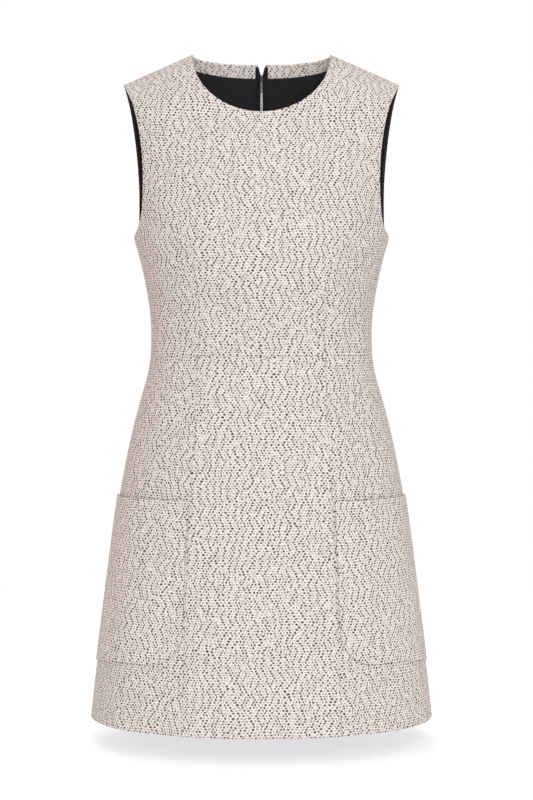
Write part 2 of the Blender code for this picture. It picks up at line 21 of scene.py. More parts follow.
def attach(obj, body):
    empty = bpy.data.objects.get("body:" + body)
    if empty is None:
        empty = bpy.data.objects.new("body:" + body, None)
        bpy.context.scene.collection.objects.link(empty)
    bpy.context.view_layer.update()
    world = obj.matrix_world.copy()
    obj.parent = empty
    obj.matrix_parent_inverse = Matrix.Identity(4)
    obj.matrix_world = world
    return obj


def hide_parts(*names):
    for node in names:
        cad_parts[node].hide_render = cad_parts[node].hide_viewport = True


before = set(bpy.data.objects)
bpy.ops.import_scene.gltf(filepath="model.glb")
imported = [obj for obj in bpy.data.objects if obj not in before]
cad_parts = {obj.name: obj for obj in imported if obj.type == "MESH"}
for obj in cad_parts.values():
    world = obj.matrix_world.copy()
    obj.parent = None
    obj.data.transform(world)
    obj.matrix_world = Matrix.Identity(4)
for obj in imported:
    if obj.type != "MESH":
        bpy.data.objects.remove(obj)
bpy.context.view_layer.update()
FRONT, BACK = -1, 1
SIDE = math.pi / 2

# %% [markdown]
# ## The form of the body
#
# A dress on a figure is nearly round in section, so a table of level sections says it all: half the
# width, the depth of the front and of the back, and how square the curve is. A place on the cloth
# is (turn, level). Turn is the angle round the section, 0 on the centre line and a quarter circle at
# the side seam. Level is the height, except near the shoulders, where it follows the rounding
# over the shoulder seam, so that a step of level is always a step along the cloth.
#
# Such a rule is better than a sculpted mesh here, because every panel, the lining and the pockets
# can ask it for points and for outward directions, and so they always fit each other. Outlines are
# drawn on a flat plan of it, on which a turn of one radian is WRAP metres wide.

# %% The tables
SECTIONS = np.array([  # height, half the width, depth of the front, depth of the back, squareness
    (-0.8235, 0.2174, 0.1600, 0.160, 2.15),
    (-0.7560, 0.2100, 0.1540, 0.155, 2.15),
    (-0.6530, 0.1970, 0.1440, 0.147, 2.15),
    (-0.5510, 0.1825, 0.1340, 0.136, 2.15),
    (-0.4740, 0.1677, 0.1230, 0.120, 2.15),
    (-0.4230, 0.1549, 0.1140, 0.104, 2.15),
    (-0.3930, 0.1462, 0.1090, 0.096, 2.15),
    (-0.3660, 0.1416, 0.1050, 0.091, 2.20),
    (-0.3200, 0.1414, 0.1120, 0.093, 2.25),
    (-0.2800, 0.1470, 0.1230, 0.100, 2.30),
    (-0.2440, 0.1549, 0.1285, 0.107, 2.30),
    (-0.2156, 0.1625, 0.1265, 0.111, 2.30),
    (-0.1600, 0.1680, 0.1120, 0.113, 2.30),
    (-0.1100, 0.1740, 0.0920, 0.108, 2.25),
    (-0.0600, 0.1830, 0.0725, 0.095, 2.20),
    (-0.0200, 0.1930, 0.0620, 0.078, 2.20),
    (0.0200, 0.2030, 0.0560, 0.066, 2.20),
])
ARMHOLE = np.array([  # height, then x of the front's edge and of the back's
    (-0.2156, 0.1625, 0.1625),
    (-0.2050, 0.1555, 0.1600),
    (-0.1800, 0.1500, 0.1595),
    (-0.1450, 0.1486, 0.1602),
    (-0.1100, 0.1505, 0.1627),
    (-0.0750, 0.1560, 0.1665),
    (-0.0450, 0.1645, 0.1710),
    (-0.0200, 0.1766, 0.1766),
])
PRINCESS = np.array([  # height, then x of the seam between the front's centre and its side
    (-0.8235, 0.0965),
    (-0.6500, 0.0915),
    (-0.5425, 0.0868),
    (-0.4500, 0.0815),
    (-0.3660, 0.0787),
    (-0.3340, 0.0762),
    (-0.2970, 0.0770),
    (-0.2600, 0.0840),
    (-0.2170, 0.1043),
    (-0.1830, 0.1245),
    (-0.1450, 0.1486),
])
HEM, WAIST, UNDERARM = -0.8235, -0.366, -0.2156
POCKET_MOUTH, POCKET_FOOT, POCKET_FOOT_AT_SIDE = -0.5425, -0.742, -0.755
PRINCESS_TOP, SHOULDER_TIP = -0.145, -0.020
FRONT_NECK, BACK_NECK, FACING_DEPTH = -0.0616, 0.0135, 0.0157
NECK_HALF_WIDTH, NECK_POINT, NECK_RISE = 0.088, 0.019, 0.030
SHOULDER_HALF_WIDTH, SHOULDER_FALL = 0.1766, 0.44
print(len(SECTIONS), "sections, and", round(2 * SECTIONS[0, 1], 3), "m from side to side at the hem")

# %% [markdown]
# ## From tables to places
#
# A smooth curve runs through the rows of each table. Front and back meet on a ridge, which is the
# shoulder seam and then goes on over the open neck. Over the last part below the ridge the cloth
# turns in by a quarter of an ellipse, so the shoulders have no sharp edge. The height of a place
# is found from its level by trying: a first guess is mended a few times, until it fits.

# %% The rule
RIDGE_REACH, RIDGE_ARC = 0.100, 0.130  # how tall that part is, and how long in levels
WRAP = 0.16
ROUNDS = 12  # of mending the height that belongs to a level


def through(rows, at):
    """The other columns of a table at any heights, on a smooth curve through its rows."""
    at = np.clip(np.asarray(at, float), rows[0, 0], rows[-1, 0])
    i = np.clip(np.searchsorted(rows[:, 0], at), 1, len(rows) - 1)
    before, low = rows[np.maximum(i - 2, 0)], rows[i - 1]
    high, after = rows[i], rows[np.minimum(i + 1, len(rows) - 1)]
    span = high[..., :1] - low[..., :1]
    t = (at[..., None] - low[..., :1]) / span
    leave = (high - before) / (high[..., :1] - before[..., :1]) * span
    arrive = (after - low) / (after[..., :1] - low[..., :1]) * span
    curve = (2 * low - 2 * high + leave + arrive) * t**3
    curve = curve + (3 * high - 3 * low - 2 * leave - arrive) * t**2 + leave * t + low
    return curve[..., 1:]


def section(height):
    """Half the width, depth of the front, depth of the back and squareness, at any heights."""
    return np.moveaxis(through(SECTIONS, height), -1, 0)


def ridge(x):
    """Where front and back meet: along the shoulder seam, then on over the open neck."""
    beyond = np.abs(x) - NECK_HALF_WIDTH
    over_neck = NECK_POINT + NECK_RISE * (1 - (x / NECK_HALF_WIDTH) ** 2)
    return np.where(beyond > 0, NECK_POINT - beyond * SHOULDER_FALL, over_neck)


def section_x(turn, height):
    half_width, _, _, squareness = section(height)
    return np.sign(turn) * half_width * np.abs(np.sin(turn)) ** (2 / squareness)


def turn_of(x, height):
    half_width, _, _, squareness = section(height)
    return np.sign(x) * np.arcsin(np.clip(np.abs(x) / half_width, 0, 1) ** (squareness / 2))


def level_of(turn, height):
    top = ridge(section_x(turn, height))
    drop = np.clip((top - height) / RIDGE_REACH, 0, 1)
    rounded = top - RIDGE_REACH + RIDGE_ARC * (1 - np.arccos(1 - drop) / SIDE)
    return np.where(drop < 1, rounded, height)


def plan_of(x, height):
    """A line of the flat plan from x and height."""
    height = np.broadcast_to(np.asarray(height, float), np.shape(x))
    turn = turn_of(np.asarray(x, float), height)
    return np.stack((turn * WRAP, level_of(turn, height)), -1)


def height_and_bend(turn, level):
    """The height of a place, and how far it has turned over the shoulder: 0 is on the ridge."""
    height = np.array(level, float)
    for _ in range(ROUNDS):
        top = ridge(section_x(turn, height))
        bend = SIDE * (1 - (level - top + RIDGE_REACH) / RIDGE_ARC)
        height = np.where(bend < SIDE, top - RIDGE_REACH * (1 - np.cos(bend)), level)
    return height, np.minimum(bend, SIDE)


def face(turn, level, side):
    """Points of the cloth's outer face, with no creases yet."""
    height, bend = height_and_bend(turn, level)
    _, front, back, squareness = section(height)
    cosine = np.cos(turn)
    depth = side * (front if side == FRONT else back)
    out = depth * np.sign(cosine) * np.abs(cosine) ** (2 / squareness) * np.sin(bend)
    return np.stack((section_x(turn, height), out, height), -1)


def outward(turn, level, side, step=1e-4):
    """The directions that point straight out of the cloth."""
    across = face(turn + step, level, side) - face(turn - step, level, side)
    up = face(turn, level + step, side) - face(turn, level - step, side)
    normal = np.cross(across, up) * -side
    return normal / np.linalg.norm(normal, axis=-1, keepdims=True)


climb = float(level_of(0, BACK_NECK)) - HEM
print(f"the back is {BACK_NECK - HEM:.3f} m tall at its centre, and {climb:.3f} m in levels")

# %% [markdown]
# ## Creases
#
# Heavy tweed hangs in broad, soft shapes, and hardly folds. Each row below is one trough or ridge:
# a straight stroke on the cloth from one (x, height) to another, with a width and a depth.
# A positive depth stands out. Strokes fade at both ends, except at the hem, where the cloth is
# free to swing. Their places are uneven on purpose, and the back gets nearly as many as the front.

# %% Creases
CREASES = {
    FRONT: [
        # the skirt: long, nearly upright swings towards the hem
        (-0.142, -0.560, -0.176, -0.850, 0.030, 0.0022),
        (-0.104, -0.600, -0.118, -0.850, 0.022, -0.0018),
        (-0.030, -0.520, -0.046, -0.850, 0.034, 0.0020),
        (0.028, -0.470, 0.019, -0.850, 0.026, -0.0016),
        (0.070, -0.640, 0.084, -0.850, 0.024, 0.0018),
        (0.128, -0.500, 0.152, -0.850, 0.028, -0.0020),
        (0.176, -0.610, 0.200, -0.850, 0.026, 0.0016),
        # the bodice: drag lines from the fullest place to the armhole and the waist
        (-0.096, -0.222, -0.152, -0.186, 0.014, -0.0012),
        (0.100, -0.228, 0.156, -0.196, 0.016, -0.0012),
        (-0.060, -0.262, -0.046, -0.352, 0.018, -0.0012),
        (0.052, -0.250, 0.062, -0.350, 0.020, -0.0014),
        (-0.116, -0.300, -0.136, -0.352, 0.015, 0.0010),
        (0.120, -0.318, 0.138, -0.380, 0.015, 0.0010),
        (-0.020, -0.110, 0.030, -0.150, 0.026, -0.0008),
        # just below the waist, where the skirt starts to open
        (-0.090, -0.376, -0.108, -0.470, 0.016, -0.0011),
        (0.104, -0.378, 0.112, -0.450, 0.016, -0.0011),
    ],
    BACK: [
        # the skirt
        (0.150, -0.540, 0.182, -0.850, 0.028, -0.0020),
        (0.094, -0.500, 0.112, -0.850, 0.032, 0.0024),
        (0.040, -0.600, 0.052, -0.850, 0.024, -0.0018),
        (-0.052, -0.560, -0.064, -0.850, 0.030, -0.0022),
        (-0.112, -0.520, -0.140, -0.850, 0.030, 0.0022),
        (-0.168, -0.640, -0.192, -0.850, 0.024, -0.0016),
        # the bodice: the hollow of the waist and between the shoulder blades
        (0.060, -0.330, 0.128, -0.352, 0.012, 0.0012),
        (-0.050, -0.336, -0.124, -0.346, 0.013, 0.0012),
        (0.082, -0.290, 0.138, -0.300, 0.013, -0.0010),
        (-0.070, -0.302, -0.136, -0.288, 0.014, -0.0011),
        (0.104, -0.140, 0.146, -0.224, 0.016, -0.0012),
        (-0.108, -0.150, -0.146, -0.230, 0.016, -0.0012),
        (0.050, -0.070, 0.070, -0.170, 0.024, -0.0009),
        (-0.046, -0.090, -0.062, -0.180, 0.024, -0.0009),
    ],
}
FADE_IN, FADE_OUT, FADED = 2.2, 3.0, 1.15  # a stroke's slopes at its ends, and where it is gone
ZIP_CALM = (0.014, 0.034)  # the zip keeps the cloth beside it flat, from and to these widths
ZIP_CALM_FOOT = -0.5
SEAM_CALM = 0.020  # and so does a side seam


def eased(share):
    share = np.clip(share, 0, 1)
    return share * share * (3 - 2 * share)


def relief(turn, level, side):
    """How far the creases lift or sink the cloth."""
    here = np.stack((turn * WRAP, level), -1)
    lift = np.zeros(len(here))
    for x_from, from_height, x_to, to_height, width, depth in CREASES[side]:
        start, end = plan_of((x_from, x_to), (from_height, to_height))
        run = end - start
        along = ((here - start) @ run) / (run @ run)
        near = here - start - np.clip(along, 0, 1)[:, None] * run
        fade = eased(np.clip(along, 0, 1) * FADE_IN) * eased((FADED - along) * FADE_OUT)
        lift += depth * fade * np.exp(-((np.linalg.norm(near, axis=1) / width) ** 2))
    lift *= eased((SIDE - np.abs(turn)) * WRAP / SEAM_CALM)
    if side == BACK:
        beside = (np.abs(turn) * WRAP - ZIP_CALM[0]) / (ZIP_CALM[1] - ZIP_CALM[0])
        lift *= np.where(level > ZIP_CALM_FOOT, eased(beside), 1)
    return lift


print({side: len(rows) for side, rows in CREASES.items()}, "creases on the front, -1, and the back")

# %% [markdown]
# ## From outlines to cloth
#
# A cutter marks a piece's edges first, and so do we. An outline is a loop of lines, and each says
# whether it is a seam, joined to a neighbour, or a fold, an edge that is turned in and free.
# These helpers divide a line evenly, mirror an outline, draw a loop in a little, and tell how far a
# place is from some lines and whether it lies in a loop.

# %% Helpers for lines
EDGE_STEP = 0.0040
SHARPEST = -0.5  # the cosine of the sharpest turn that a corner is drawn in for


def lengths(line):
    return np.concatenate(([0], np.cumsum(np.linalg.norm(np.diff(line, axis=0), axis=1))))


def evenly(line):
    runs = lengths(line)
    stops = np.linspace(0, runs[-1], max(2, round(runs[-1] / EDGE_STEP) + 1))
    return np.stack([np.interp(stops, runs, line[:, k]) for k in (0, 1)], -1)


def mirrored(outline):
    """The mirror image of an outline, whose lines still run in one direction round it."""
    return [(kind, line[::-1] * (-1, 1)) for kind, line in outline[::-1]]


def clearance(points, lines):
    """How far each point is from the nearest of some lines of the plan."""
    if not lines:
        return np.full(len(points), 1.0)
    starts = np.concatenate([line[:-1] for line in lines])
    runs = np.concatenate([np.diff(line, axis=0) for line in lines])
    offsets = points[:, None] - starts
    along = np.clip((offsets * runs).sum(2) / np.maximum((runs**2).sum(1), 1e-12), 0, 1)
    return np.linalg.norm(offsets - along[..., None] * runs, axis=2).min(1)


def inside(points, loop):
    """Which points lie in a loop: those from which a level line crosses it an odd number of times."""
    a, b = loop, np.roll(loop, -1, axis=0)
    spans = (a[:, 1] > points[:, None, 1]) != (b[:, 1] > points[:, None, 1])
    rise = np.where(b[:, 1] == a[:, 1], 1, b[:, 1] - a[:, 1])
    at = a[:, 0] + (points[:, None, 1] - a[:, 1]) * (b[:, 0] - a[:, 0]) / rise
    return (spans & (points[:, None, 0] < at)).sum(1) % 2 == 1


def moved_in(loop, amount):
    """A closed loop drawn in by an amount, which may differ from place to place."""
    run = np.roll(loop, -1, axis=0) - loop
    run /= np.linalg.norm(run, axis=1, keepdims=True)
    left = np.stack((-run[:, 1], run[:, 0]), -1)
    before = np.roll(left, 1, axis=0)
    mitre = (left + before) / (1 + np.maximum((left * before).sum(1), SHARPEST))[:, None]
    return loop + mitre * np.reshape(amount, (-1, 1))


print("edges are divided every", EDGE_STEP, "m")

# %% [markdown]
# ## Filling an outline
#
# The space inside an outline is filled with even triangles, with closer rows along the edges, because
# that is where cloth bends most: it dips into a seam, and it rolls over at a fold. Blender's
# Delaunay function joins the points to the roundest triangles it can find. A plain grid cut off at
# the outline would leave slivers along every seam.

# %% Filling
MESH_STEP = 0.0062
EDGE_ROWS = (0.0004, 0.0011, 0.0024, 0.0045)
ROW_LEAST = 0.9  # the part of a row's distance that its points must keep from every edge
TOUCHING = 1e-7


def filled(lines, seam_gap, fold_gap):
    """Points of the plan and triangles between them, inside an outline."""
    loop = np.concatenate([line[:-1] for _, line in lines])
    gaps = [np.full(len(line) - 1, seam_gap if kind == "seam" else fold_gap) for kind, line in lines]
    gaps = np.concatenate(gaps)
    loop = moved_in(loop, np.maximum(gaps, np.roll(gaps, 1)))
    closed = [np.concatenate((loop, loop[:1]))]
    places = [loop]
    for row in EDGE_ROWS:
        ring = moved_in(loop, row)
        places.append(ring[(clearance(ring, closed) > ROW_LEAST * row) & inside(ring, loop)])
    low, high = loop.min(0), loop.max(0)
    rows = np.arange(low[1], high[1], MESH_STEP * math.sqrt(3) / 2)
    columns = np.arange(low[0] - MESH_STEP, high[0] + MESH_STEP, MESH_STEP)
    grid = np.array([(x + k % 2 * MESH_STEP / 2, y) for k, y in enumerate(rows) for x in columns])
    grid = grid[clearance(grid, closed) > EDGE_ROWS[-1] + MESH_STEP / 2]
    places = np.concatenate(places + [grid[inside(grid, loop)]])
    found = delaunay_2d_cdt([Vector(p) for p in places], [], [list(range(len(loop)))], 1, TOUCHING)
    return np.array([tuple(p) for p in found[0]]), [tuple(f) for f in found[2]]


def free_edges(triangles):
    edges = {(a, b) for f in triangles for a, b in zip(f, f[1:] + f[:1])}
    return [edge for edge in sorted(edges) if edge[::-1] not in edges]


print("rows along an edge lie", ", ".join(f"{row * 1000:.1f}" for row in EDGE_ROWS), "mm in from it")

# %% [markdown]
# ## The flat cut
#
# Every corner of the mesh also gets its place on the flat cut cloth, in real metres, measured along
# the surface. The weave uses that map, so its yarns keep one size over the whole dress. Blender's
# own unwrapping would fit each piece to a square, and the yarns would differ from piece to piece.

# %% Cut maps
MAP_TURNS = np.linspace(-SIDE, SIDE, 181)
MAP_LEVELS = np.linspace(HEM, 0.080, 301)


def cut_map(side):
    """Arc lengths over the surface: across from the centre line, and up from the hem."""
    turns, levels = np.meshgrid(MAP_TURNS, MAP_LEVELS, indexing="ij")
    points = face(turns, levels, side)
    step_across = np.linalg.norm(np.diff(points, axis=0), axis=2)
    step_up = np.linalg.norm(np.diff(points, axis=1), axis=2)
    across = np.concatenate((np.zeros((1, len(MAP_LEVELS))), np.cumsum(step_across, 0)))
    across -= across[len(MAP_TURNS) // 2]
    up = np.concatenate((np.zeros((len(MAP_TURNS), 1)), np.cumsum(step_up, 1)), 1)
    return across, up


CUT_MAPS = {side: cut_map(side) for side in (FRONT, BACK)}


def cell_of(values, axis):
    """The entry below each value on an even axis of a map, and how far past it the value is."""
    place = np.clip((values - axis[0]) / (axis[1] - axis[0]), 0, len(axis) - 1.001)
    return place.astype(int), place - place.astype(int)


def looked_up(table, turn, level):
    """A value of a map at any place, between its four nearest entries."""
    (a, s), (b, t) = cell_of(turn, MAP_TURNS), cell_of(level, MAP_LEVELS)
    low = table[a, b] * (1 - s) + table[a + 1, b] * s
    return low * (1 - t) + (table[a, b + 1] * (1 - s) + table[a + 1, b + 1] * s) * t


def on_cut_cloth(turn, level, side, grain):
    """Where a place lies on the flat piece: from its grain line, and up that line."""
    across, up = CUT_MAPS[side]
    lines = np.full(len(turn), grain)
    u = looked_up(across, turn, level) - looked_up(across, lines, level)
    return np.stack((u, looked_up(up, lines, level)), -1)


def flat_area(places, triangles):
    a, b, c = (places[np.array(triangles)[:, k]] for k in range(3))
    return float(np.abs(np.cross(b - a, c - a)).sum() / 2)


print("the cut maps measure", len(MAP_TURNS), "by", len(MAP_LEVELS), "places on each side")

# %% [markdown]
# ## One piece of cloth
#
# The wall is made of an outer and an inner face with a rim between them, so it is a closed thin shell.
# A Solidify modifier would do that too, but here each face bends by itself: both roll in at a
# fold, and the outer one alone dips into a seam. Each point also keeps its distance from the nearest
# seam and fold, and whether it is on a rim that the lining covers, so that a material can paint
# shade along seams and folds, and the lining's black on those rims.

# %% Walls
GAP = 0.0003  # room between two pieces
SEAM_GAP = 0.00005  # from a seam to the edge of each piece it joins
LINED_RIM = 0.003  # how far the lining's black reaches from an armhole over the inside of the tweed
TWEED, LINING = 0.0016, 0.0010  # walls
INSIDE = -TWEED - 0.0005  # where the outer faces of the lining and of the facings lie
SEAM_DIP, SEAM_REACH = 0.0003, 0.0012
FOLD_ROLL = 0.00055  # how far each face of a fold rolls in
PIECES = {}  # each piece of cloth by its name, with its flat size and its area


def link(made):
    bpy.context.scene.collection.objects.link(made)
    return made


def cloth(name, outline, side, finish, wall=TWEED, out=0.0, grain=0.0, lift=None, lips=None,
          seam_gap=SEAM_GAP, fold_gap=GAP / 2):
    """A thin closed shell of cloth. A lift gives each place its own height over the skirt or
    bodice, and lips are (how far, how deep) a fold's faces are brought out to meet what they lie on."""
    lines = [(kind, evenly(line)) for kind, line in outline]
    plan, triangles = filled(lines, seam_gap, fold_gap)
    turn, level = plan[:, 0] / WRAP, plan[:, 1]
    seam = clearance(plan, [line for kind, line in lines if kind == "seam"])
    fold = clearance(plan, [line for kind, line in lines if kind != "seam"])
    lined = clearance(plan, [line for kind, line in lines if kind == "lined fold"]) < LINED_RIM
    fold = np.maximum(fold - fold_gap, 0)
    points, normals = face(turn, level, side), outward(turn, level, side)
    rise = out + relief(turn, level, side)
    if lift:
        rise = rise + lift(turn, level, fold)
    if lips:
        rise = rise + lips[1] * np.exp(-((fold / lips[0]) ** 2))
    roll = FOLD_ROLL * np.clip(1 - fold / (wall / 2), 0, 1) ** 2 * wall / TWEED
    dip = SEAM_DIP * np.exp(-((seam / SEAM_REACH) ** 2)) * wall / TWEED
    outer = points + normals * (rise - roll - dip)[:, None]
    inner = points + normals * (rise - wall + roll)[:, None]
    if side == BACK:
        triangles = [f[::-1] for f in triangles]
    count = len(plan)
    faces = triangles + [tuple(k + count for k in f[::-1]) for f in triangles]
    faces += [(b, a, a + count, b + count) for a, b in free_edges(triangles)]
    mesh = bpy.data.meshes.new(name)
    mesh.from_pydata(np.concatenate((outer, inner)).tolist(), [], faces)
    flat = on_cut_cloth(turn, level, side, grain)
    corners = np.empty(len(mesh.loops), np.int32)
    mesh.loops.foreach_get("vertex_index", corners)
    layer = mesh.uv_layers.new(name="cut")
    layer.data.foreach_set("uv", np.concatenate((flat, flat))[corners].astype(np.float32).ravel())
    for label, ahead, behind in (("seam", seam, seam), ("fold", fold, fold), ("lined", 0 * seam, lined)):
        values = np.concatenate((ahead, behind)).astype(np.float32)
        mesh.attributes.new(label, "FLOAT", "POINT").data.foreach_set("value", values)
    mesh.materials.append(finish)
    mesh.shade_smooth()
    made = link(bpy.data.objects.new(name, mesh))
    size = flat.max(0) - flat.min(0)
    PIECES[name] = (made, tuple(float(s) for s in size), flat_area(flat, triangles))


print("the tweed's wall is", TWEED * 1000, "mm thick")

# %% [markdown]
# ## Writing shaders as sums
#
# A weave is arithmetic on a place: which yarn is this, how far from its middle, and how dark was
# that bit of wool spun? Node by node such sums grow long, so this small class lets Python's own
# signs add the Math nodes. A group keeps the sum in one box with named inputs, which every tweed
# piece shares. Noises with different third numbers don't repeat each other.

# %% A small helper for node trees
MM = 1000.0


def add_node(tree, kind, inputs=None, **settings):
    """Adds one node, and links or fills its inputs."""
    made = tree.nodes.new(kind)
    for name, value in settings.items():
        setattr(made, name, value)
    for key, value in (inputs or {}).items():
        value = value.socket if isinstance(value, Sum) else value
        if isinstance(value, bpy.types.NodeSocket):
            tree.links.new(value, made.inputs[key])
        else:
            made.inputs[key].default_value = value
    return made


class Sum:
    """A number in a node tree. Signs between sums become Math nodes."""

    def __init__(self, tree, socket):
        self.tree, self.socket = tree, socket

    def math(self, operation, *others):
        made = add_node(self.tree, "ShaderNodeMath", dict(enumerate((self, *others))), operation=operation)
        return Sum(self.tree, made.outputs[0])

    def __add__(self, other):
        return self.math("ADD", other)

    def __sub__(self, other):
        return self.math("SUBTRACT", other)

    def __mul__(self, other):
        return self.math("MULTIPLY", other)

    def __truediv__(self, other):
        return self.math("DIVIDE", other)

    def limited(self):
        return self.math("MAXIMUM", 0.0).math("MINIMUM", 1.0)

    def bell(self):
        """1 at zero, falling off softly to both sides."""
        return (self * self * -1).math("EXPONENT")

    def ripple(self, length):
        """A wave from 0 to 1 that repeats with this length."""
        return (self / length * 2 * math.pi).math("SINE") * 0.5 + 0.5


def place_of(x, y, z):
    return add_node(x.tree, "ShaderNodeCombineXYZ", {0: x, 1: y, 2: z}).outputs[0]


def noise(x, y, z, detail=0.0):
    """A soft random number from 0 to 1 that changes over about one unit."""
    inputs = {"Vector": place_of(x, y, z), "Scale": 1.0, "Detail": detail}
    return Sum(x.tree, add_node(x.tree, "ShaderNodeTexNoise", inputs).outputs["Fac"])


def chance(x, y, z):
    """Random numbers that are one value within each whole cell."""
    made = add_node(x.tree, "ShaderNodeTexWhiteNoise", {"Vector": place_of(x, y, z)}, noise_dimensions="3D")
    return Sum(x.tree, made.outputs["Value"])


def mixed(tree, share, a, b):
    """Color a where the share is 0, and b where it is 1 or more."""
    return add_node(tree, "ShaderNodeMix", {0: share, 6: a, 7: b}, data_type="RGBA").outputs[2]


def in_mm(tree, place):
    """The three parts of a place."""
    scaled = add_node(tree, "ShaderNodeVectorMath", {0: place, "Scale": MM}, operation="SCALE")
    parts = add_node(tree, "ShaderNodeSeparateXYZ", {0: scaled.outputs[0]})
    return [Sum(tree, socket) for socket in parts.outputs]


def new_group(name, kind, inputs, outputs):
    """A node group. Each of its inputs and outputs is a name, a kind and perhaps a value."""
    tree = bpy.data.node_groups.new(name, kind)
    for way, sockets in (("INPUT", inputs), ("OUTPUT", outputs)):
        for label, sort, *value in sockets:
            made = tree.interface.new_socket(label, in_out=way, socket_type="NodeSocket" + sort)
            if value:
                made.default_value = value[0]
    return tree, tree.nodes.new("NodeGroupInput").outputs, tree.nodes.new("NodeGroupOutput").inputs


print("helpers ready")

# %% [markdown]
# ## The tweed
#
# Close up, this cloth is a loose brickwork of fat, pale wool floats: each row of floats is
# shifted by half a float against the row below. A dark yarn comes to the surface once in every two
# floats, and only for a moment, so it shows as a small dark dot. From row to row the dot steps half a
# float to one side, and after a few rows it turns back. That makes the short chevrons which run up
# the cloth. Where they turn differs from patch to patch.
#
# Yarn is never even. So the map is first pushed about a little, each row slides to one side by
# its own amount, and the rows of a chain lean back so that it climbs more steeply than its steps. Every
# float gets its own tone. The group works in millimetres, because its input is the cut map of
# each piece. A painted picture of the cloth would repeat and blur, and this rule does neither.

# %% Tweed
FLOAT_WIDTH, ROW_HEIGHT = 4.38, 3.2
NUDGE_SIZE, NUDGE, NUDGE_UP = 6.0, 2.0, 2.2  # small pushes: how broad, how far across and up
DRIFT_SIZE, DRIFT = (34, 60), 8.0  # broad pushes across
RISE_SIZE, RISE = (50, 40), 5.0  # broad pushes up
SWAY_SIZE, SWAY, SWAY_STEP = 14.0, 1.6, 3.7  # how each row slides, unlike the row below
LEAN_SIZE, LEAN = 30, 0.2  # how far a chain leans back, in floats for each row
CHAIN_ROWS, PATCH, UNEVEN = 4.5, 8.0, 3.4  # rows before a chain turns, and how that changes
STRAY_SIZE, STRAY = 9, 0.8
DOT_WIDTH, DOT_HEIGHT, WEAK_DOT = 0.25, 0.325, 0.45
RAGGED, RAGGED_LEAST = 1.8, 0.6  # how unevenly a dot covers the pale wool
HAIR_WIDTH, HAIR_LENGTH, GRAIN_SIZE = 0.5, 1.4, 0.9
CROWN, TONE, HAIR, GRAIN, PALENESS = 0.55, 0.12, 0.4, 4.2, 0.76  # what makes a float light or dark
WEAVE = [
    ("Map", "Vector"),
    ("Pale", "Color", (0.98, 0.872, 0.815, 1)),
    ("Shaded", "Color", (0.28, 0.235, 0.218, 1)),
    ("Dark", "Color", (0.022, 0.009, 0.005, 1)),
    # a scale for painted shade along seams and folds and on the side panels
    ("Tone", "Float", 1.0),
]
WOVEN = [("Color", "Color"), ("Height", "Float")]


def wobble(x, y, z, amount):
    """A soft push either way."""
    return (noise(x, y, z) - 0.5) * amount


def weave_group():
    tree, given, results = new_group("tweed_weave", "ShaderNodeTree", WEAVE, WOVEN)
    u, v, _ = in_mm(tree, given["Map"])
    across = u + wobble(u / NUDGE_SIZE, v / NUDGE_SIZE, 3.3, NUDGE)
    across = across + wobble(u / DRIFT_SIZE[0], v / DRIFT_SIZE[1], 7.1, DRIFT)
    up = v + wobble(u / NUDGE_SIZE, v / NUDGE_SIZE, 11.7, NUDGE_UP)
    up = up + wobble(u / RISE_SIZE[0], v / RISE_SIZE[1], 19.2, RISE)
    row = (up / ROW_HEIGHT).math("FLOOR")
    across = across + wobble(u / SWAY_SIZE, row * SWAY_STEP, 13.1, SWAY)

    # the dark yarn swings to and fro, by one step in each row
    turns = noise(across / FLOAT_WIDTH / PATCH, row / PATCH, 2.9) * UNEVEN
    swing = (row / CHAIN_ROWS + turns).math("PINGPONG", 1.0) * CHAIN_ROWS
    across = across - swing * (noise(u / LEAN_SIZE, v / LEAN_SIZE, 15.7) * LEAN * FLOAT_WIDTH)

    # which float is this, and how far is it to its middle?
    odd = (row * 0.5).math("FRACT") * 2
    column = across / FLOAT_WIDTH - odd * 0.5
    cell = column.math("FLOOR")
    middle = cell + odd * 0.5 + 0.5
    a = column - cell - 0.5
    b = up / ROW_HEIGHT - row - 0.5

    # every second float has the dark dot, and some of the others have a weak one
    aim = swing + noise(middle / STRAY_SIZE, row / STRAY_SIZE, 5.5) * STRAY
    step = ((aim - odd) * 0.5 + 0.5).math("FLOOR") * 2 + odd
    dark = ((middle * 2 + step) / 4).math("FRACT").math("LESS_THAN", 0.5)
    weak = (dark * -1 + 1.0) * chance(cell, row, 4.5) * WEAK_DOT
    hair = noise(u / HAIR_WIDTH, v / HAIR_LENGTH, 1.7, 2.0)
    cover = (a / DOT_WIDTH).bell() * (b / DOT_HEIGHT).bell() * (hair * RAGGED + RAGGED_LEAST)
    dot = cover.limited() * (dark + weak)

    # pale wool, darkest in the middle of each float, with its own tone and a grain as fine as hairs
    pillow = (a * math.pi).math("COSINE") * (b * math.pi).math("COSINE")
    light = pillow * -CROWN + (chance(cell, row, 8.5) - 0.5) * TONE + (hair - 0.5) * HAIR
    light = light + (noise(u / GRAIN_SIZE, v / GRAIN_SIZE, 9.9, 1.0) - 0.5) * GRAIN + PALENESS
    color = mixed(tree, dot, mixed(tree, light, given["Shaded"], given["Pale"]), given["Dark"])
    painted_shade_color = add_node(tree, "ShaderNodeVectorMath", {0: color, "Scale": given["Tone"]}, operation="SCALE")
    tree.links.new(painted_shade_color.outputs[0], results["Color"])
    tree.links.new((pillow * 0.8 + hair * 0.5 - dot * 0.8).socket, results["Height"])
    return tree


WEAVE_GROUP = weave_group()
print("the weave has", len(WEAVE_GROUP.nodes), "nodes")
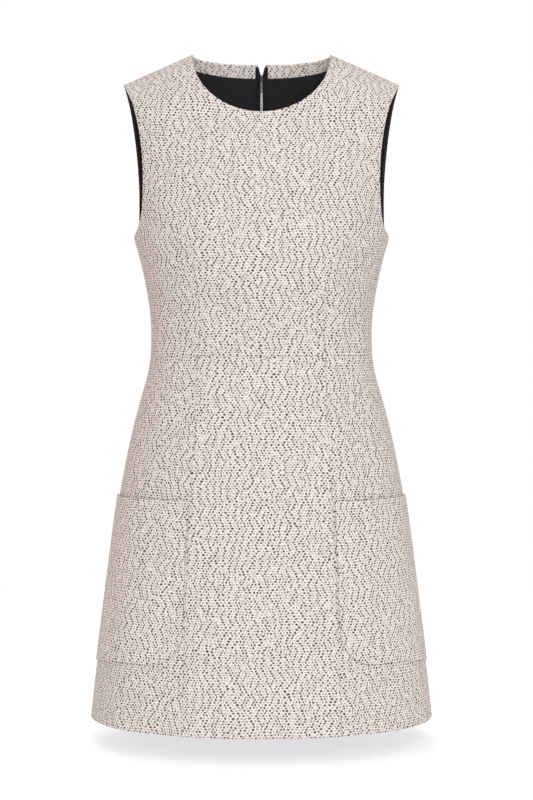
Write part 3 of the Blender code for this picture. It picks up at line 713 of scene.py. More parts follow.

# %% [markdown]
# ## Tweed for one piece
#
# Every piece gets a material of its own, with the same weave in it, moved to another place as if it
# were cut from another part of the roll. Painted shade darkens the cloth softly along seams and folds,
# and a little painted shade darkens the side panels all over. The facings get paler floats and
# browner, paler dots: painted light against the shade of the neck. Beside an armhole the tweed's inner
# face is black, since the lining is turned up to the very edge there.

# %% Tweed materials
SEAM_PAINTED_SHADE, FOLD_PAINTED_SHADE, PAINTED_SHADE_REACH = 0.09, 0.10, 0.0009  # how dark the painted shade along seams and folds is, and how wide
RIM_SHARPNESS = 8
LINING_BLACK = (0.012, 0.012, 0.014, 1)
# the facings' colours: paler floats and browner, paler dots, as painted light against the shade of the neck
FACING_PAINTED_LIGHT_WOOL = {
    "Pale": (1.0, 0.93, 0.87, 1),
    "Shaded": (0.88, 0.74, 0.65, 1),
    "Dark": (0.035, 0.016, 0.010, 1),
}


def new_material(name, finish):
    made = bpy.data.materials.new(name)
    made.use_nodes = True
    shader = made.node_tree.nodes["Principled BSDF"]
    for key, value in finish.items():
        shader.inputs[key].default_value = value
    return made, made.node_tree, shader


def cut_place(tree):
    return add_node(tree, "ShaderNodeUVMap", uv_map="cut").outputs[0]


def mark(tree, name):
    """What each point of a piece of cloth keeps under a name."""
    return Sum(tree, add_node(tree, "ShaderNodeAttribute", attribute_name=name).outputs["Fac"])


def raised(tree, shader, height, strength, depth):
    """Relief that only the light sees. The depth is in metres."""
    bump = add_node(tree, "ShaderNodeBump", {"Height": height, "Strength": strength, "Distance": depth})
    tree.links.new(bump.outputs[0], shader.inputs["Normal"])


def tweed_material(name, shift, shade):
    finish = {"Roughness": 0.93, "Sheen Weight": 0.04, "Sheen Roughness": 0.5, "Specular IOR Level": 0.1}
    made, tree, shader = new_material(name, finish)
    # painted shade along seams and folds, where the cloth dips and rolls in
    line = (mark(tree, "seam") / PAINTED_SHADE_REACH).bell() * SEAM_PAINTED_SHADE
    line = line + (mark(tree, "fold") / PAINTED_SHADE_REACH).bell() * FOLD_PAINTED_SHADE
    moved = add_node(tree, "ShaderNodeVectorMath", {0: cut_place(tree), 1: (*shift, 0)}, operation="ADD")
    # painted light: the facings' paler colours lift them out of the shade of the neck
    painted_light = FACING_PAINTED_LIGHT_WOOL if "Facing" in name else {}
    # the painted shade of seams, folds and side panels scales the weave's colour
    inputs = {"Map": moved.outputs[0], "Tone": (line * -1 + 1.0) * shade, **painted_light}
    weave = add_node(tree, "ShaderNodeGroup", inputs, node_tree=WEAVE_GROUP)
    color = mixed(tree, mark(tree, "lined") * RIM_SHARPNESS, weave.outputs["Color"], LINING_BLACK)
    tree.links.new(color, shader.inputs["Base Color"])
    raised(tree, shader, weave.outputs["Height"], strength=0.5, depth=0.0004)
    return made


print("a seam darkens the cloth by", SEAM_PAINTED_SHADE, "within", PAINTED_SHADE_REACH * MM, "mm")

# %% [markdown]
# ## Lining, tape, metal and thread
#
# The lining is a black satin: nearly smooth, with a soft gloss and threads so fine that they only
# show as faint streaks down the cloth. The zip's tape is a ribbed black twill. Its metal is
# nickel, with small scratches that differ in gloss and not in colour. The stitches are two plies
# of pale thread. As in the weave, the sizes of their patterns are in millimetres.

# %% The other materials
STREAK, PATCHES, CRUMPLE = (0.7, 26), (16, 34), (9, 60)  # how broad and how long, on the lining
SATIN_RIB, TAPE_RIB, TAPE_WALE, THREAD_TWIST = 0.45, 0.62, 0.55, 0.28
SCRATCH, GLOSS_PATCH = (0.12, 3.0, 0.5), 1.6

def lining_material():
    finish = {"Roughness": 0.46, "Specular IOR Level": 0.45, "Sheen Weight": 0.15, "Sheen Roughness": 0.35}
    made, tree, shader = new_material("lining_satin", finish)
    u, v, _ = in_mm(tree, cut_place(tree))
    streak = noise(u / STREAK[0], v / STREAK[1], 4.1, 2.0)
    patch = noise(u / PATCHES[0], v / PATCHES[1], 6.2, 2.0)
    share = streak * 0.5 + patch * 0.7 - 0.1
    color = mixed(tree, share, (0.0065, 0.0069, 0.0082, 1), (0.019, 0.0195, 0.022, 1))
    tree.links.new(color, shader.inputs["Base Color"])
    crumple = noise(u / CRUMPLE[0], v / CRUMPLE[1], 3.0, 1.0) * 4
    height = (u + v).ripple(SATIN_RIB) * 0.5 + streak + crumple
    raised(tree, shader, height, strength=0.35, depth=0.0003)
    return made


def tape_material():
    made, tree, shader = new_material("zip_tape_twill", {"Roughness": 0.85, "Specular IOR Level": 0.3})
    u, v, _ = in_mm(tree, cut_place(tree))
    rib, wale = u.ripple(TAPE_RIB), (v - u * 0.4).ripple(TAPE_WALE)
    color = mixed(tree, rib * 0.6 + wale * 0.3, (0.006, 0.006, 0.007, 1), (0.020, 0.020, 0.022, 1))
    tree.links.new(color, shader.inputs["Base Color"])
    raised(tree, shader, rib + wale * 0.5, strength=0.6, depth=0.0002)
    return made


def metal_material():
    made, tree, shader = new_material("zip_nickel", {"Metallic": 1.0, "Base Color": (0.66, 0.65, 0.63, 1)})
    x, y, z = in_mm(tree, add_node(tree, "ShaderNodeTexCoord").outputs["Object"])
    scratch = noise(x / SCRATCH[0], z / SCRATCH[1], y / SCRATCH[2], 1.0)
    patch = noise(x / GLOSS_PATCH, z / GLOSS_PATCH, y / GLOSS_PATCH, 3.0)
    gloss = patch * 0.25 + scratch * 0.12 + 0.10
    tree.links.new(gloss.socket, shader.inputs["Roughness"])
    raised(tree, shader, scratch, strength=0.15, depth=0.0001)
    return made


def thread_material():
    made, tree, shader = new_material("thread", {"Roughness": 0.7, "Sheen Weight": 0.2})
    x, _, z = in_mm(tree, add_node(tree, "ShaderNodeTexCoord").outputs["Object"])
    color = mixed(tree, (x + z).ripple(THREAD_TWIST), (0.50, 0.43, 0.40, 1), (0.72, 0.64, 0.61, 1))
    tree.links.new(color, shader.inputs["Base Color"])
    return made


LINING_SATIN, TAPE_TWILL = lining_material(), tape_material()
NICKEL, THREAD = metal_material(), thread_material()
print("materials:", ", ".join(m.name for m in (LINING_SATIN, TAPE_TWILL, NICKEL, THREAD)))

# %% [markdown]
# ## The lines a cutter would chalk
#
# Every piece is bounded by a few kinds of line: the princess seam, the side seam, the armhole, the neck,
# the shoulder and the level lines of waist and hem. Each is worked out once, here, and pieces on both
# sides of a seam use the same line. The armhole and the princess seam follow their tables, and the
# neck is a quarter of an ellipse on each side, which gives a truly round neckline.

# %% Chalk lines
ZIP_SLOT, ZIP_LINING_EDGE = 0.0045, 0.0079
ZIP_TAPE_INNER, ZIP_TAPE_OUTER, ZIP_TAPE_TOP = 0.0011, 0.0084, 0.0122
ZIP_TAPE_SPREAD, ZIP_FORK, ZIP_END, ZIP_SLOT_END = 0.0027, 0.0030, -0.4920, -0.5040
FINE = 160  # points on a line before it is divided evenly
FACING_HALF_WIDTH = NECK_HALF_WIDTH + FACING_DEPTH / math.hypot(1, SHOULDER_FALL)


def level_line(height, start, end):
    return np.array([(start * WRAP, height), (end * WRAP, height)])


def side_seam(low, high):
    return np.array([(SIDE * WRAP, low), (SIDE * WRAP, high)])


def princess(low, high):
    heights = np.linspace(low, high, FINE)
    return plan_of(through(PRINCESS, heights)[:, 0], heights)


def armhole(side, low, high):
    heights = low + (high - low) * (1 - np.cos(np.linspace(0, math.pi, FINE))) / 2
    return plan_of(through(ARMHOLE, heights)[:, 0 if side == FRONT else 1], heights)


def shoulder(start):
    x = np.linspace(start, SHOULDER_HALF_WIDTH, FINE)
    return plan_of(x, ridge(x))


def neck(bottom, half_width, start=0.0):
    top = float(ridge(np.array(half_width)))
    angles = np.linspace(math.asin(start / half_width), SIDE, FINE)
    return plan_of(half_width * np.sin(angles), top - (top - bottom) * np.cos(angles))


def upright(x, low, high):
    return plan_of(np.full(FINE, x), np.linspace(low, high, FINE))


def turn_at(x, height):
    return float(turn_of(np.array(x), np.array(height)))


PRINCESS_AT_WAIST = float(princess(WAIST, WAIST)[0, 0]) / WRAP
PRINCESS_AT_HEM = float(princess(HEM, HEM)[0, 0]) / WRAP
print("princess seams turn", round(math.degrees(PRINCESS_AT_WAIST)), "degrees at the waist")

# %% [markdown]
# ## The bodice
#
# Two side panels and one centre panel make the front, and a panel on each side of the zip makes the back.
# The neck and the armholes are turned edges. Inside lies the black lining, and along the neck a
# narrow facing of the same tweed. Where the lining or a facing meets a turned edge, its lip comes up
# to touch the tweed, as if sewn there.
#
# Only left halves are drawn. A pair is one outline and its mirror image, and a whole piece is a half
# and its mirror image in one loop.

# %% Bodice, facings and lining
LINING_SET_BACK = 0.0012
INNER_LAYER = dict(wall=LINING, out=INSIDE, seam_gap=0.00025, lips=(0.004, 0.00045))
ROLL_SHIFT = (0.317, 0.211)  # where on the roll a piece is cut, from where the last one was


def cut_out(name, outline, side, finish, shade=1.0, **more):
    shift = [len(PIECES) * step for step in ROLL_SHIFT]
    cloth(name, outline, side, finish or tweed_material(name + "_tweed", shift, shade), **more)


def add_whole(name, half, side, finish=None, **more):
    cut_out(name, half + mirrored(half), side, finish, **more)


def add_pair(name, outline, side, finish=None, grain=0.0, **more):
    cut_out(name + "_Left", outline, side, finish, grain=grain, **more)
    cut_out(name + "_Right", mirrored(outline), side, finish, grain=-grain, **more)


def under_the_arm(side, start, kind, neck_width):
    """The waist from a start to the side, the side seam, the armhole and the shoulder up to the neck."""
    return [
        ("seam", level_line(WAIST, start, SIDE)),
        ("seam", side_seam(WAIST, UNDERARM)),
        (kind, armhole(side, UNDERARM, SHOULDER_TIP)),
        ("seam", shoulder(neck_width)[::-1]),
    ]


def facing(bottom, start):
    """Half a facing: its lower edge, its end on the shoulder and its turned edge at the neck."""
    low = neck(bottom - FACING_DEPTH, FACING_HALF_WIDTH, start)
    end = shoulder(NECK_HALF_WIDTH)
    end = end[end[:, 0] <= shoulder(FACING_HALF_WIDTH)[0, 0]][::-1]
    top = neck(bottom, NECK_HALF_WIDTH, start)[::-1]
    return [("seam", low), ("seam", np.concatenate((low[-1:], end))), ("fold", top)]


front_centre = [
    ("seam", level_line(WAIST, 0, PRINCESS_AT_WAIST)),
    ("seam", princess(WAIST, PRINCESS_TOP)),
    ("lined fold", armhole(FRONT, PRINCESS_TOP, SHOULDER_TIP)),
    ("seam", shoulder(NECK_HALF_WIDTH)[::-1]),
    ("fold", neck(FRONT_NECK, NECK_HALF_WIDTH)[::-1]),
]
front_side = [
    ("seam", level_line(WAIST, PRINCESS_AT_WAIST, SIDE)),
    ("seam", side_seam(WAIST, UNDERARM)),
    ("lined fold", armhole(FRONT, UNDERARM, PRINCESS_TOP)),
    ("seam", princess(WAIST, PRINCESS_TOP)[::-1]),
]
back = under_the_arm(BACK, turn_at(ZIP_SLOT, WAIST), "lined fold", NECK_HALF_WIDTH) + [
    ("fold", neck(BACK_NECK, NECK_HALF_WIDTH, ZIP_SLOT)[::-1]),
    ("fold", upright(ZIP_SLOT, WAIST, BACK_NECK)[::-1]),
]
add_whole("Bodice_Front_Centre", front_centre, FRONT)
# the side panels are darkened a little by painted shade
add_pair("Bodice_Front_Side", front_side, FRONT, grain=1.05, shade=0.97)
add_pair("Bodice_Back", back, BACK, grain=0.55)

front_facing, back_facing = facing(FRONT_NECK, 0.0), facing(BACK_NECK, ZIP_LINING_EDGE)
front_lining = under_the_arm(FRONT, 0, "fold", FACING_HALF_WIDTH) + [("seam", front_facing[0][1][::-1])]
back_lining = under_the_arm(BACK, turn_at(ZIP_LINING_EDGE, WAIST), "fold", FACING_HALF_WIDTH) + [
    ("seam", back_facing[0][1][::-1]),
    ("seam", upright(ZIP_LINING_EDGE, WAIST, BACK_NECK - FACING_DEPTH)[::-1]),
]
back_facing.append(("seam", upright(ZIP_LINING_EDGE, BACK_NECK - FACING_DEPTH, BACK_NECK)[::-1]))
add_whole("Neck_Facing_Front", front_facing, FRONT, **INNER_LAYER)
add_whole("Lining_Front", front_lining, FRONT, LINING_SATIN, fold_gap=LINING_SET_BACK, **INNER_LAYER)
add_pair("Neck_Facing_Back", back_facing, BACK, grain=0.3, **INNER_LAYER)
add_pair("Lining_Back", back_lining, BACK, LINING_SATIN, fold_gap=LINING_SET_BACK, **INNER_LAYER)
print(len(PIECES), "pieces cut for the bodice")

# %% [markdown]
# ## The skirt and its pockets
#
# The skirt repeats the bodice's panels, wider towards the hem. A patch pocket lies on each front side
# panel, from the princess seam to the side seam. Its lower inner corner is round, its foot is
# sewn down, and its mouth stands off a little, most of all near the side, where a hand goes in.

# %% Skirt and pockets
POCKET_INSET, POCKET_CORNER, CORNER_POINTS = 0.002, 0.045, 24
POCKET_GAPE = 0.0018
GAPE_INNER, GAPE_OUTER = 0.12, 0.82  # the part of half a wave that the gape covers
POCKET_FULLNESS, FULLNESS_REACH = 0.0009, 0.02
TUCK, TUCK_REACH = 0.0013, 0.008  # how far a pocket's edge sinks into the side seam
TUCK_BELOW_MOUTH, TUCK_GROWTH, TUCK_BELOW_FOOT = 0.010, 0.120, 0.014


def tucked(turn, level):
    """Along the side seam the pocket and the panel under it sink, but not near the open mouth."""
    across = np.exp(-(((SIDE - np.abs(turn)) * WRAP / TUCK_REACH) ** 2))
    below_mouth = eased((POCKET_MOUTH - TUCK_BELOW_MOUTH - level) / TUCK_GROWTH)
    above_foot = eased((level - POCKET_FOOT_AT_SIDE + TUCK_BELOW_FOOT) / TUCK_BELOW_FOOT)
    return TUCK * across * below_mouth * above_foot


def under_pocket(turn, level, fold):
    return -tucked(turn, level)


def pocket_lift(turn, level, fold):
    """The mouth stands off the skirt, and the cloth between the sewn edges is a little full."""
    share = np.clip((level - POCKET_FOOT) / (POCKET_MOUTH - POCKET_FOOT), 0, 1)
    inner = through(PRINCESS, POCKET_MOUTH)[0] + POCKET_INSET
    outer = section(POCKET_MOUTH)[0]
    across = np.clip((np.abs(section_x(turn, level)) - inner) / (outer - inner), 0, 1)
    wave = GAPE_INNER + (GAPE_OUTER - GAPE_INNER) * across
    fullness = POCKET_FULLNESS * eased(fold / FULLNESS_REACH) * np.sin(math.pi * across)
    return POCKET_GAPE * share**3 * np.sin(math.pi * wave) + fullness - tucked(turn, level)


def pocket_outline():
    heights = np.linspace(POCKET_MOUTH, POCKET_FOOT + POCKET_CORNER, FINE)
    seam_x = through(PRINCESS, heights)[:, 0] + POCKET_INSET
    inner_edge = plan_of(seam_x, heights)
    angles = np.linspace(0, SIDE, CORNER_POINTS)
    corner = plan_of(seam_x[-1] + POCKET_CORNER * (1 - np.cos(angles)),
                     heights[-1] - POCKET_CORNER * np.sin(angles))
    share = np.linspace(0, 1, CORNER_POINTS)
    start, end = corner[-1], np.array((SIDE * WRAP, POCKET_FOOT_AT_SIDE))
    foot = start + (end - start) * np.stack((share, share**2), -1)
    return [
        ("fold", np.concatenate((inner_edge, corner[1:], foot[1:]))),
        ("seam", side_seam(POCKET_FOOT_AT_SIDE, POCKET_MOUTH)),
        ("fold", level_line(POCKET_MOUTH, SIDE, inner_edge[0, 0] / WRAP)),
    ]


skirt_centre = [
    ("fold", level_line(HEM, 0, PRINCESS_AT_HEM)),
    ("seam", princess(HEM, WAIST)),
    ("seam", level_line(WAIST, PRINCESS_AT_WAIST, 0)),
]
skirt_side = [
    ("fold", level_line(HEM, PRINCESS_AT_HEM, SIDE)),
    ("seam", side_seam(HEM, WAIST)),
    ("seam", level_line(WAIST, SIDE, PRINCESS_AT_WAIST)),
    ("seam", princess(HEM, WAIST)[::-1]),
]
skirt_back = [
    ("fold", level_line(HEM, 0, SIDE)),
    ("seam", side_seam(HEM, WAIST)),
    ("seam", level_line(WAIST, SIDE, turn_at(ZIP_SLOT, WAIST))),
    ("fold", upright(ZIP_SLOT, ZIP_END, WAIST)[::-1]),
    ("fold", plan_of((ZIP_SLOT, 0.0), (ZIP_END, ZIP_SLOT_END))),
    ("seam", np.array([(0, ZIP_SLOT_END), (0, HEM)])),
]
add_whole("Skirt_Front_Centre", skirt_centre, FRONT)
# the skirt's side panels are darkened a little by painted shade
add_pair("Skirt_Front_Side", skirt_side, FRONT, grain=1.0, shade=0.98, lift=under_pocket)
add_pair("Skirt_Back", skirt_back, BACK, grain=0.6)
add_pair("Pocket", pocket_outline(), FRONT, out=TWEED + GAP, lift=pocket_lift, grain=1.0)
print(len(PIECES), "pieces of cloth so far")

# %% [markdown]
# ## The zip
#
# A zip is two tapes, a chain of teeth, a slider and its pull. The tapes are narrow strips that are made
# as the other cloth is, and they part in a V above the slider.

# %% Zip tapes
def tape_inner(height):
    return ZIP_TAPE_INNER + ZIP_TAPE_SPREAD * np.clip((height - ZIP_FORK) / (ZIP_TAPE_TOP - ZIP_FORK), 0, 1)


tape_heights = np.linspace(ZIP_END, ZIP_TAPE_TOP, FINE)
tape = [
    ("seam", plan_of((ZIP_TAPE_INNER, ZIP_TAPE_OUTER), ZIP_END)),
    ("seam", upright(ZIP_TAPE_OUTER, ZIP_END, ZIP_TAPE_TOP)),
    ("fold", plan_of((ZIP_TAPE_OUTER, ZIP_TAPE_INNER + ZIP_TAPE_SPREAD), ZIP_TAPE_TOP)),
    ("fold", plan_of(tape_inner(tape_heights), tape_heights)[::-1]),
]
add_pair("Zip_Tape", tape, BACK, TAPE_TWILL, wall=LINING, out=INSIDE)


print("the tapes run from", ZIP_END, "up to", ZIP_TAPE_TOP)

# %% [markdown]
# ## Repeating along a path
#
# A chain has hundreds of equal teeth, and a seam has hundreds of equal stitches. One of each is
# modelled, and Geometry Nodes set it along a path, at one pitch. In the chain, every second item is
# turned half round to face the other tape. An Array and a Curve modifier would bend each item with
# the path. The copies are made real at the end, and what comes out is kept as a plain mesh.

# %% A node group that repeats
REPEAT_INPUTS = [("Path", "Geometry"), ("Item", "Object"), ("Pitch", "Float"), ("Turn_Odd", "Float"),
                 ("Material", "Material")]


def repeat_group():
    """Sets one item along a path. The item's Y follows the path, and its Z points out of the back."""
    tree, given, results = new_group("repeat_along_path", "GeometryNodeTree", REPEAT_INPUTS,
                                     [("Geometry", "Geometry")])
    points = add_node(tree, "GeometryNodeCurveToPoints", {"Curve": given["Path"], "Length": given["Pitch"]},
                      mode="LENGTH").outputs
    along = add_node(tree, "FunctionNodeAlignRotationToVector", {"Vector": points["Tangent"]},
                     axis="Y", pivot_axis="X")
    odd = Sum(tree, tree.nodes.new("GeometryNodeInputIndex").outputs[0]).math("MODULO", 2.0)
    euler = add_node(tree, "ShaderNodeCombineXYZ", {"Z": odd * given["Turn_Odd"]})
    by = add_node(tree, "FunctionNodeEulerToRotation", {0: euler.outputs[0]})
    turned = add_node(tree, "FunctionNodeRotateRotation",
                      {"Rotation": along.outputs[0], "Rotate By": by.outputs[0]}, rotation_space="LOCAL")
    item = add_node(tree, "GeometryNodeObjectInfo", {"Object": given["Item"], "As Instance": True})
    placed = add_node(tree, "GeometryNodeInstanceOnPoints",
                      {"Points": points["Points"], "Instance": item.outputs["Geometry"],
                       "Rotation": turned.outputs[0]})
    real = add_node(tree, "GeometryNodeRealizeInstances", {0: placed.outputs[0]})
    dressed = add_node(tree, "GeometryNodeSetMaterial",
                       {"Geometry": real.outputs[0], "Material": given["Material"]})
    tree.links.new(dressed.outputs[0], results[0])
    return tree


REPEAT = repeat_group()


def curve_of(name, outlines, **settings):
    """A curve object of straight runs, which are closed loops where it is flat."""
    curve = bpy.data.curves.new(name, "CURVE")
    for key, value in settings.items():
        setattr(curve, key, value)
    for outline in outlines:
        spline = curve.splines.new("POLY")
        spline.points.add(len(outline) - 1)
        spline.use_cyclic_u = curve.dimensions == "2D"
        for target, point in zip(spline.points, outline):
            target.co = (*point, 1)
    return link(bpy.data.objects.new(name + "_curve", curve))


def plain_mesh(name, made):
    """The finished shape of a curve, as an object of its own with no modifiers."""
    shape = bpy.data.meshes.new_from_object(made.evaluated_get(bpy.context.evaluated_depsgraph_get()))
    shape.name = name
    bpy.data.objects.remove(made)
    return link(bpy.data.objects.new(name, shape))


def repeated(name, points, item, pitch, turn_odd, finish):
    """Copies of an item along a path, as one plain mesh."""
    path = curve_of(name, [points], dimensions="3D")
    modifier = path.modifiers.new("repeat", "NODES")
    modifier.node_group = REPEAT
    values = {"Item": item, "Pitch": pitch, "Turn_Odd": turn_odd, "Material": finish}
    for socket in REPEAT.interface.items_tree:
        if socket.name in values:
            modifier[socket.identifier] = values[socket.name]
    made = plain_mesh(name, path)
    bpy.data.objects.remove(item)
    return made


print("the group that repeats has", len(REPEAT.nodes), "nodes")

# %% [markdown]
# ## Teeth and stitches
#
# A tooth is a clamp round its tape with a round head, pressed from thick strip. So it is drawn as a flat
# curve, which Blender fills, thickens and bevels. A stitch is a short thread that bulges out of the
# cloth, with both of its ends sunk in. Both have few faces, because there are so many of them.

# %% Teeth and stitches
TOOTH_PITCH, STITCH_PITCH = 0.00105, 0.0030
TOOTH_THICKNESS, TOOTH_BEVEL = 0.0021, 0.00012
CHAIN_DEPTH = 0.0024  # the middle of the teeth below the tweed's outer face
CHAIN_TOP = ZIP_FORK - 0.0098
STITCH_BESIDE = 0.0017  # from the slot's edge to the row of stitches
STITCH_TOP, STITCH_OUT = BACK_NECK - 0.002, 0.00008
STITCH_HALF_LENGTH, STITCH_THICKNESS, STITCH_SINK, STITCH_SIDES = 0.00115, 0.00024, 0.00022, 6
STITCH_RINGS = (-1.0, -0.72, -0.3, 0.3, 0.72, 1.0)  # along half its length
PATH_POINTS = 240


def plate(name, outlines, thickness, bevel):
    """A flat plate with round edges: the first outline is its rim, and any others are holes."""
    flat = [[(x, y, 0) for x, y in outline] for outline in outlines]
    made = plain_mesh(name, curve_of(name, flat, dimensions="2D", fill_mode="BOTH", bevel_resolution=1,
                                     extrude=thickness / 2 - bevel, bevel_depth=bevel, offset=-bevel))
    shape = bmesh.new()
    shape.from_mesh(made.data)
    bmesh.ops.remove_doubles(shape, verts=shape.verts[:], dist=1e-7)
    bmesh.ops.recalc_face_normals(shape, faces=shape.faces[:])
    shape.to_mesh(made.data)
    shape.free()
    return made


def tooth():
    """One tooth: a clamp on the tape and a round head past the middle of the chain."""
    rim = [(0.0015, -0.00034), (0.0015, 0.00034), (0.0008, 0.00040), (0.0002, 0.00028),
           (-0.0001, 0.00046), (-0.0005, 0.00046), (-0.0007, 0.00022), (-0.0007, -0.00022),
           (-0.0005, -0.00046), (-0.0001, -0.00046), (0.0002, -0.00028), (0.0008, -0.00040)]
    return plate("tooth", [rim], TOOTH_THICKNESS, TOOTH_BEVEL)


def stitch():
    """One stitch: a short thread with both ends sunk into the cloth."""
    shape = bmesh.new()
    rings = []
    for share in STITCH_RINGS:
        thick = STITCH_THICKNESS * math.sqrt(1.02 - share * share)  # not quite a point at its ends
        turns = [k * math.tau / STITCH_SIDES for k in range(STITCH_SIDES)]
        rings.append([shape.verts.new((thick * math.cos(t), share * STITCH_HALF_LENGTH,
                                       thick * math.sin(t) - STITCH_SINK * share * share)) for t in turns])
    for a, b in zip(rings, rings[1:]):
        for k in range(STITCH_SIDES):
            shape.faces.new((a[k], b[k], b[(k + 1) % STITCH_SIDES], a[(k + 1) % STITCH_SIDES]))
    shape.faces.new(rings[0])
    shape.faces.new(rings[-1][::-1])
    bmesh.ops.recalc_face_normals(shape, faces=shape.faces[:])
    mesh = bpy.data.meshes.new("stitch")
    shape.to_mesh(mesh)
    shape.free()
    mesh.shade_smooth()
    return link(bpy.data.objects.new("stitch", mesh))


def on_back(x, top, out):
    """A line down the back at one x, from a height to the zip's end, lifted from the cloth's face."""
    line = plan_of(np.full(PATH_POINTS, x), np.linspace(top, ZIP_END, PATH_POINTS))
    turn, level = line[:, 0] / WRAP, line[:, 1]
    return face(turn, level, BACK) + outward(turn, level, BACK) * (out + relief(turn, level, BACK))[:, None]


chain = on_back(0.0, CHAIN_TOP, -CHAIN_DEPTH)
zip_teeth = repeated("Zip_Teeth", chain, tooth(), TOOTH_PITCH, math.pi, NICKEL)
stitch_rows = []
for sign, label in ((1, "Left"), (-1, "Right")):
    path = on_back(sign * (ZIP_SLOT + STITCH_BESIDE), STITCH_TOP, STITCH_OUT)
    stitch_rows.append(repeated("Zip_Stitches_" + label, path, stitch(), STITCH_PITCH, 0.0, THREAD))
print("faces:", {made.name: len(made.data.polygons) for made in (zip_teeth, *stitch_rows)})

# %% [markdown]
# ## Slider and pull
#
# The slider is two shield-shaped plates with a wedge between them, and a bridge that holds the pull. The
# pull is a flat tab with a window at its top, through which the bridge passes. It hangs down the zip, and
# it rides on its own body, so it swings up about the bar under the bridge.
#
# Each plate is drawn flat and then lifted to its place: X is across the zip, Y up it and Z out of
# the back. That is how such parts are stamped, and it keeps every rim an even, slightly round edge.

# %% Slider and pull
SLIDER_LENGTH, SLIDER_TOP_FACE, SLIDER_INNER_DEPTH = 0.0095, 0.0004, 0.0046
OUTER_PLATE, INNER_PLATE, PLATE_BEVEL = 0.0011, 0.0009, 0.0002  # two walls and their round edges
WEDGE_DEPTH, WEDGE_MIDDLE, WEDGE_BEVEL = 0.0038, -0.0021, 0.0001
BRIDGE_WIDTH, BRIDGE_ROUND, BRIDGE_HOLE_ROUND = 0.0014, 0.0009, 0.0006
TAB_THICKNESS, WINDOW_LENGTH = 0.0010, 0.0050
PULL_PIVOT, PULL_LENGTH, PULL_BAR = 0.0009, 0.0230, 0.0010
STOOD_UP = Matrix(((0, 0, 1, 0), (1, 0, 0, 0), (0, 1, 0, 0), (0, 0, 0, 1)))  # X up from flat, Y out
SHARP_ANGLE, CORNER_STEPS = math.radians(40), 5


def both_sides(right):
    return right + [(-x, y) for x, y in reversed(right)]


def shield(top, waist, foot):
    """The outline of a slider's plate: broad shoulders, a waist and a round foot."""
    half = SLIDER_LENGTH / 2
    return both_sides([(foot * 0.6, -half), (foot, -half + 0.0008), (waist, -half + 0.0030),
                       (top, half - 0.0030), (top, half - 0.0012), (top * 0.72, half)])


def rounded_tab(half_width, low, high, corner):
    """A rectangle with round corners, anticlockwise."""
    right, top, foot = half_width - corner, high - corner, low + corner
    places = []
    for start, (x, y) in enumerate(((right, top), (-right, top), (-right, foot), (right, foot))):
        for k in range(CORNER_STEPS + 1):
            angle = (start + k / CORNER_STEPS) * SIDE
            places.append((x + corner * math.cos(angle), y + corner * math.sin(angle)))
    return places


def lifted(z):
    return Matrix.Translation((0, 0, z))


def joined(name, place, parts):
    """One mesh from plates that overlap, each with its outlines, thickness, bevel and own place."""
    shape = bmesh.new()
    for outlines, thickness, bevel, own_place in parts:
        made = plate(name + "_plate", outlines, thickness, bevel)
        made.data.transform(own_place)
        shape.from_mesh(made.data)
        bpy.data.objects.remove(made)
    mesh = bpy.data.meshes.new(name)
    shape.to_mesh(mesh)
    shape.free()
    mesh.materials.append(NICKEL)
    mesh.shade_smooth()
    mesh.set_sharp_from_angle(angle=SHARP_ANGLE)
    mesh.transform(place)
    return link(bpy.data.objects.new(name, mesh))


middle = (np.zeros(1), plan_of(np.zeros(1), ZIP_FORK - SLIDER_LENGTH / 2)[:, 1])
normal, across = Vector(outward(*middle, BACK)[0]), Vector((-1, 0, 0))
axes = Matrix((across, normal.cross(across), normal)).transposed().to_4x4()
slider_place = Matrix.Translation(Vector(face(*middle, BACK)[0])) @ axes
pull_place = slider_place @ lifted(SLIDER_TOP_FACE + PULL_PIVOT)

outer_place = lifted(SLIDER_TOP_FACE - OUTER_PLATE / 2)
inner_place = lifted(INNER_PLATE / 2 - SLIDER_INNER_DEPTH)
arch = [rounded_tab(half_width=0.0030, low=-0.0009, high=0.0027, corner=BRIDGE_ROUND),
        rounded_tab(half_width=0.0023, low=0.00005, high=0.0020, corner=BRIDGE_HOLE_ROUND)]
wedge = rounded_tab(half_width=0.0012, low=-0.0010, high=0.0046, corner=0.0007)
slider = joined("Zip_Slider", slider_place, [
    ([shield(top=0.0035, waist=0.0028, foot=0.0026)], OUTER_PLATE, PLATE_BEVEL, outer_place),
    ([shield(top=0.0016, waist=0.0016, foot=0.0015)], INNER_PLATE, PLATE_BEVEL, inner_place),
    ([wedge], WEDGE_DEPTH, WEDGE_BEVEL, lifted(WEDGE_MIDDLE)),
    (arch, BRIDGE_WIDTH, PLATE_BEVEL, lifted(SLIDER_TOP_FACE) @ STOOD_UP),
])
foot = PULL_BAR / 2 - PULL_LENGTH
tab = both_sides([(0.0019, PULL_BAR / 2), (0.0023, -0.0004), (0.0023, -0.0066), (0.0020, -0.0085),
                  (0.0026, -0.0160), (0.0026, foot + 0.0016), (0.0021, foot + 0.0005), (0.0012, foot)])
window_top = -PULL_BAR / 2
window = rounded_tab(half_width=0.0013, low=window_top - WINDOW_LENGTH, high=window_top, corner=0.0003)
pull = joined("Zip_Pull", pull_place, [([tab, window], TAB_THICKNESS, PLATE_BEVEL, lifted(0))])
print("slider at", [round(v, 4) for v in slider_place.translation])

# %% [markdown]
# ## Handing the pieces to the frame
#
# Each piece is told two things: the body it moves with, and the plain solid it stands for, which is
# hidden. For a piece of cloth the size it was cut, which is its extent on the cut map, is printed with
# its area. A piece and its plain solid have the same name, apart from the capitals.

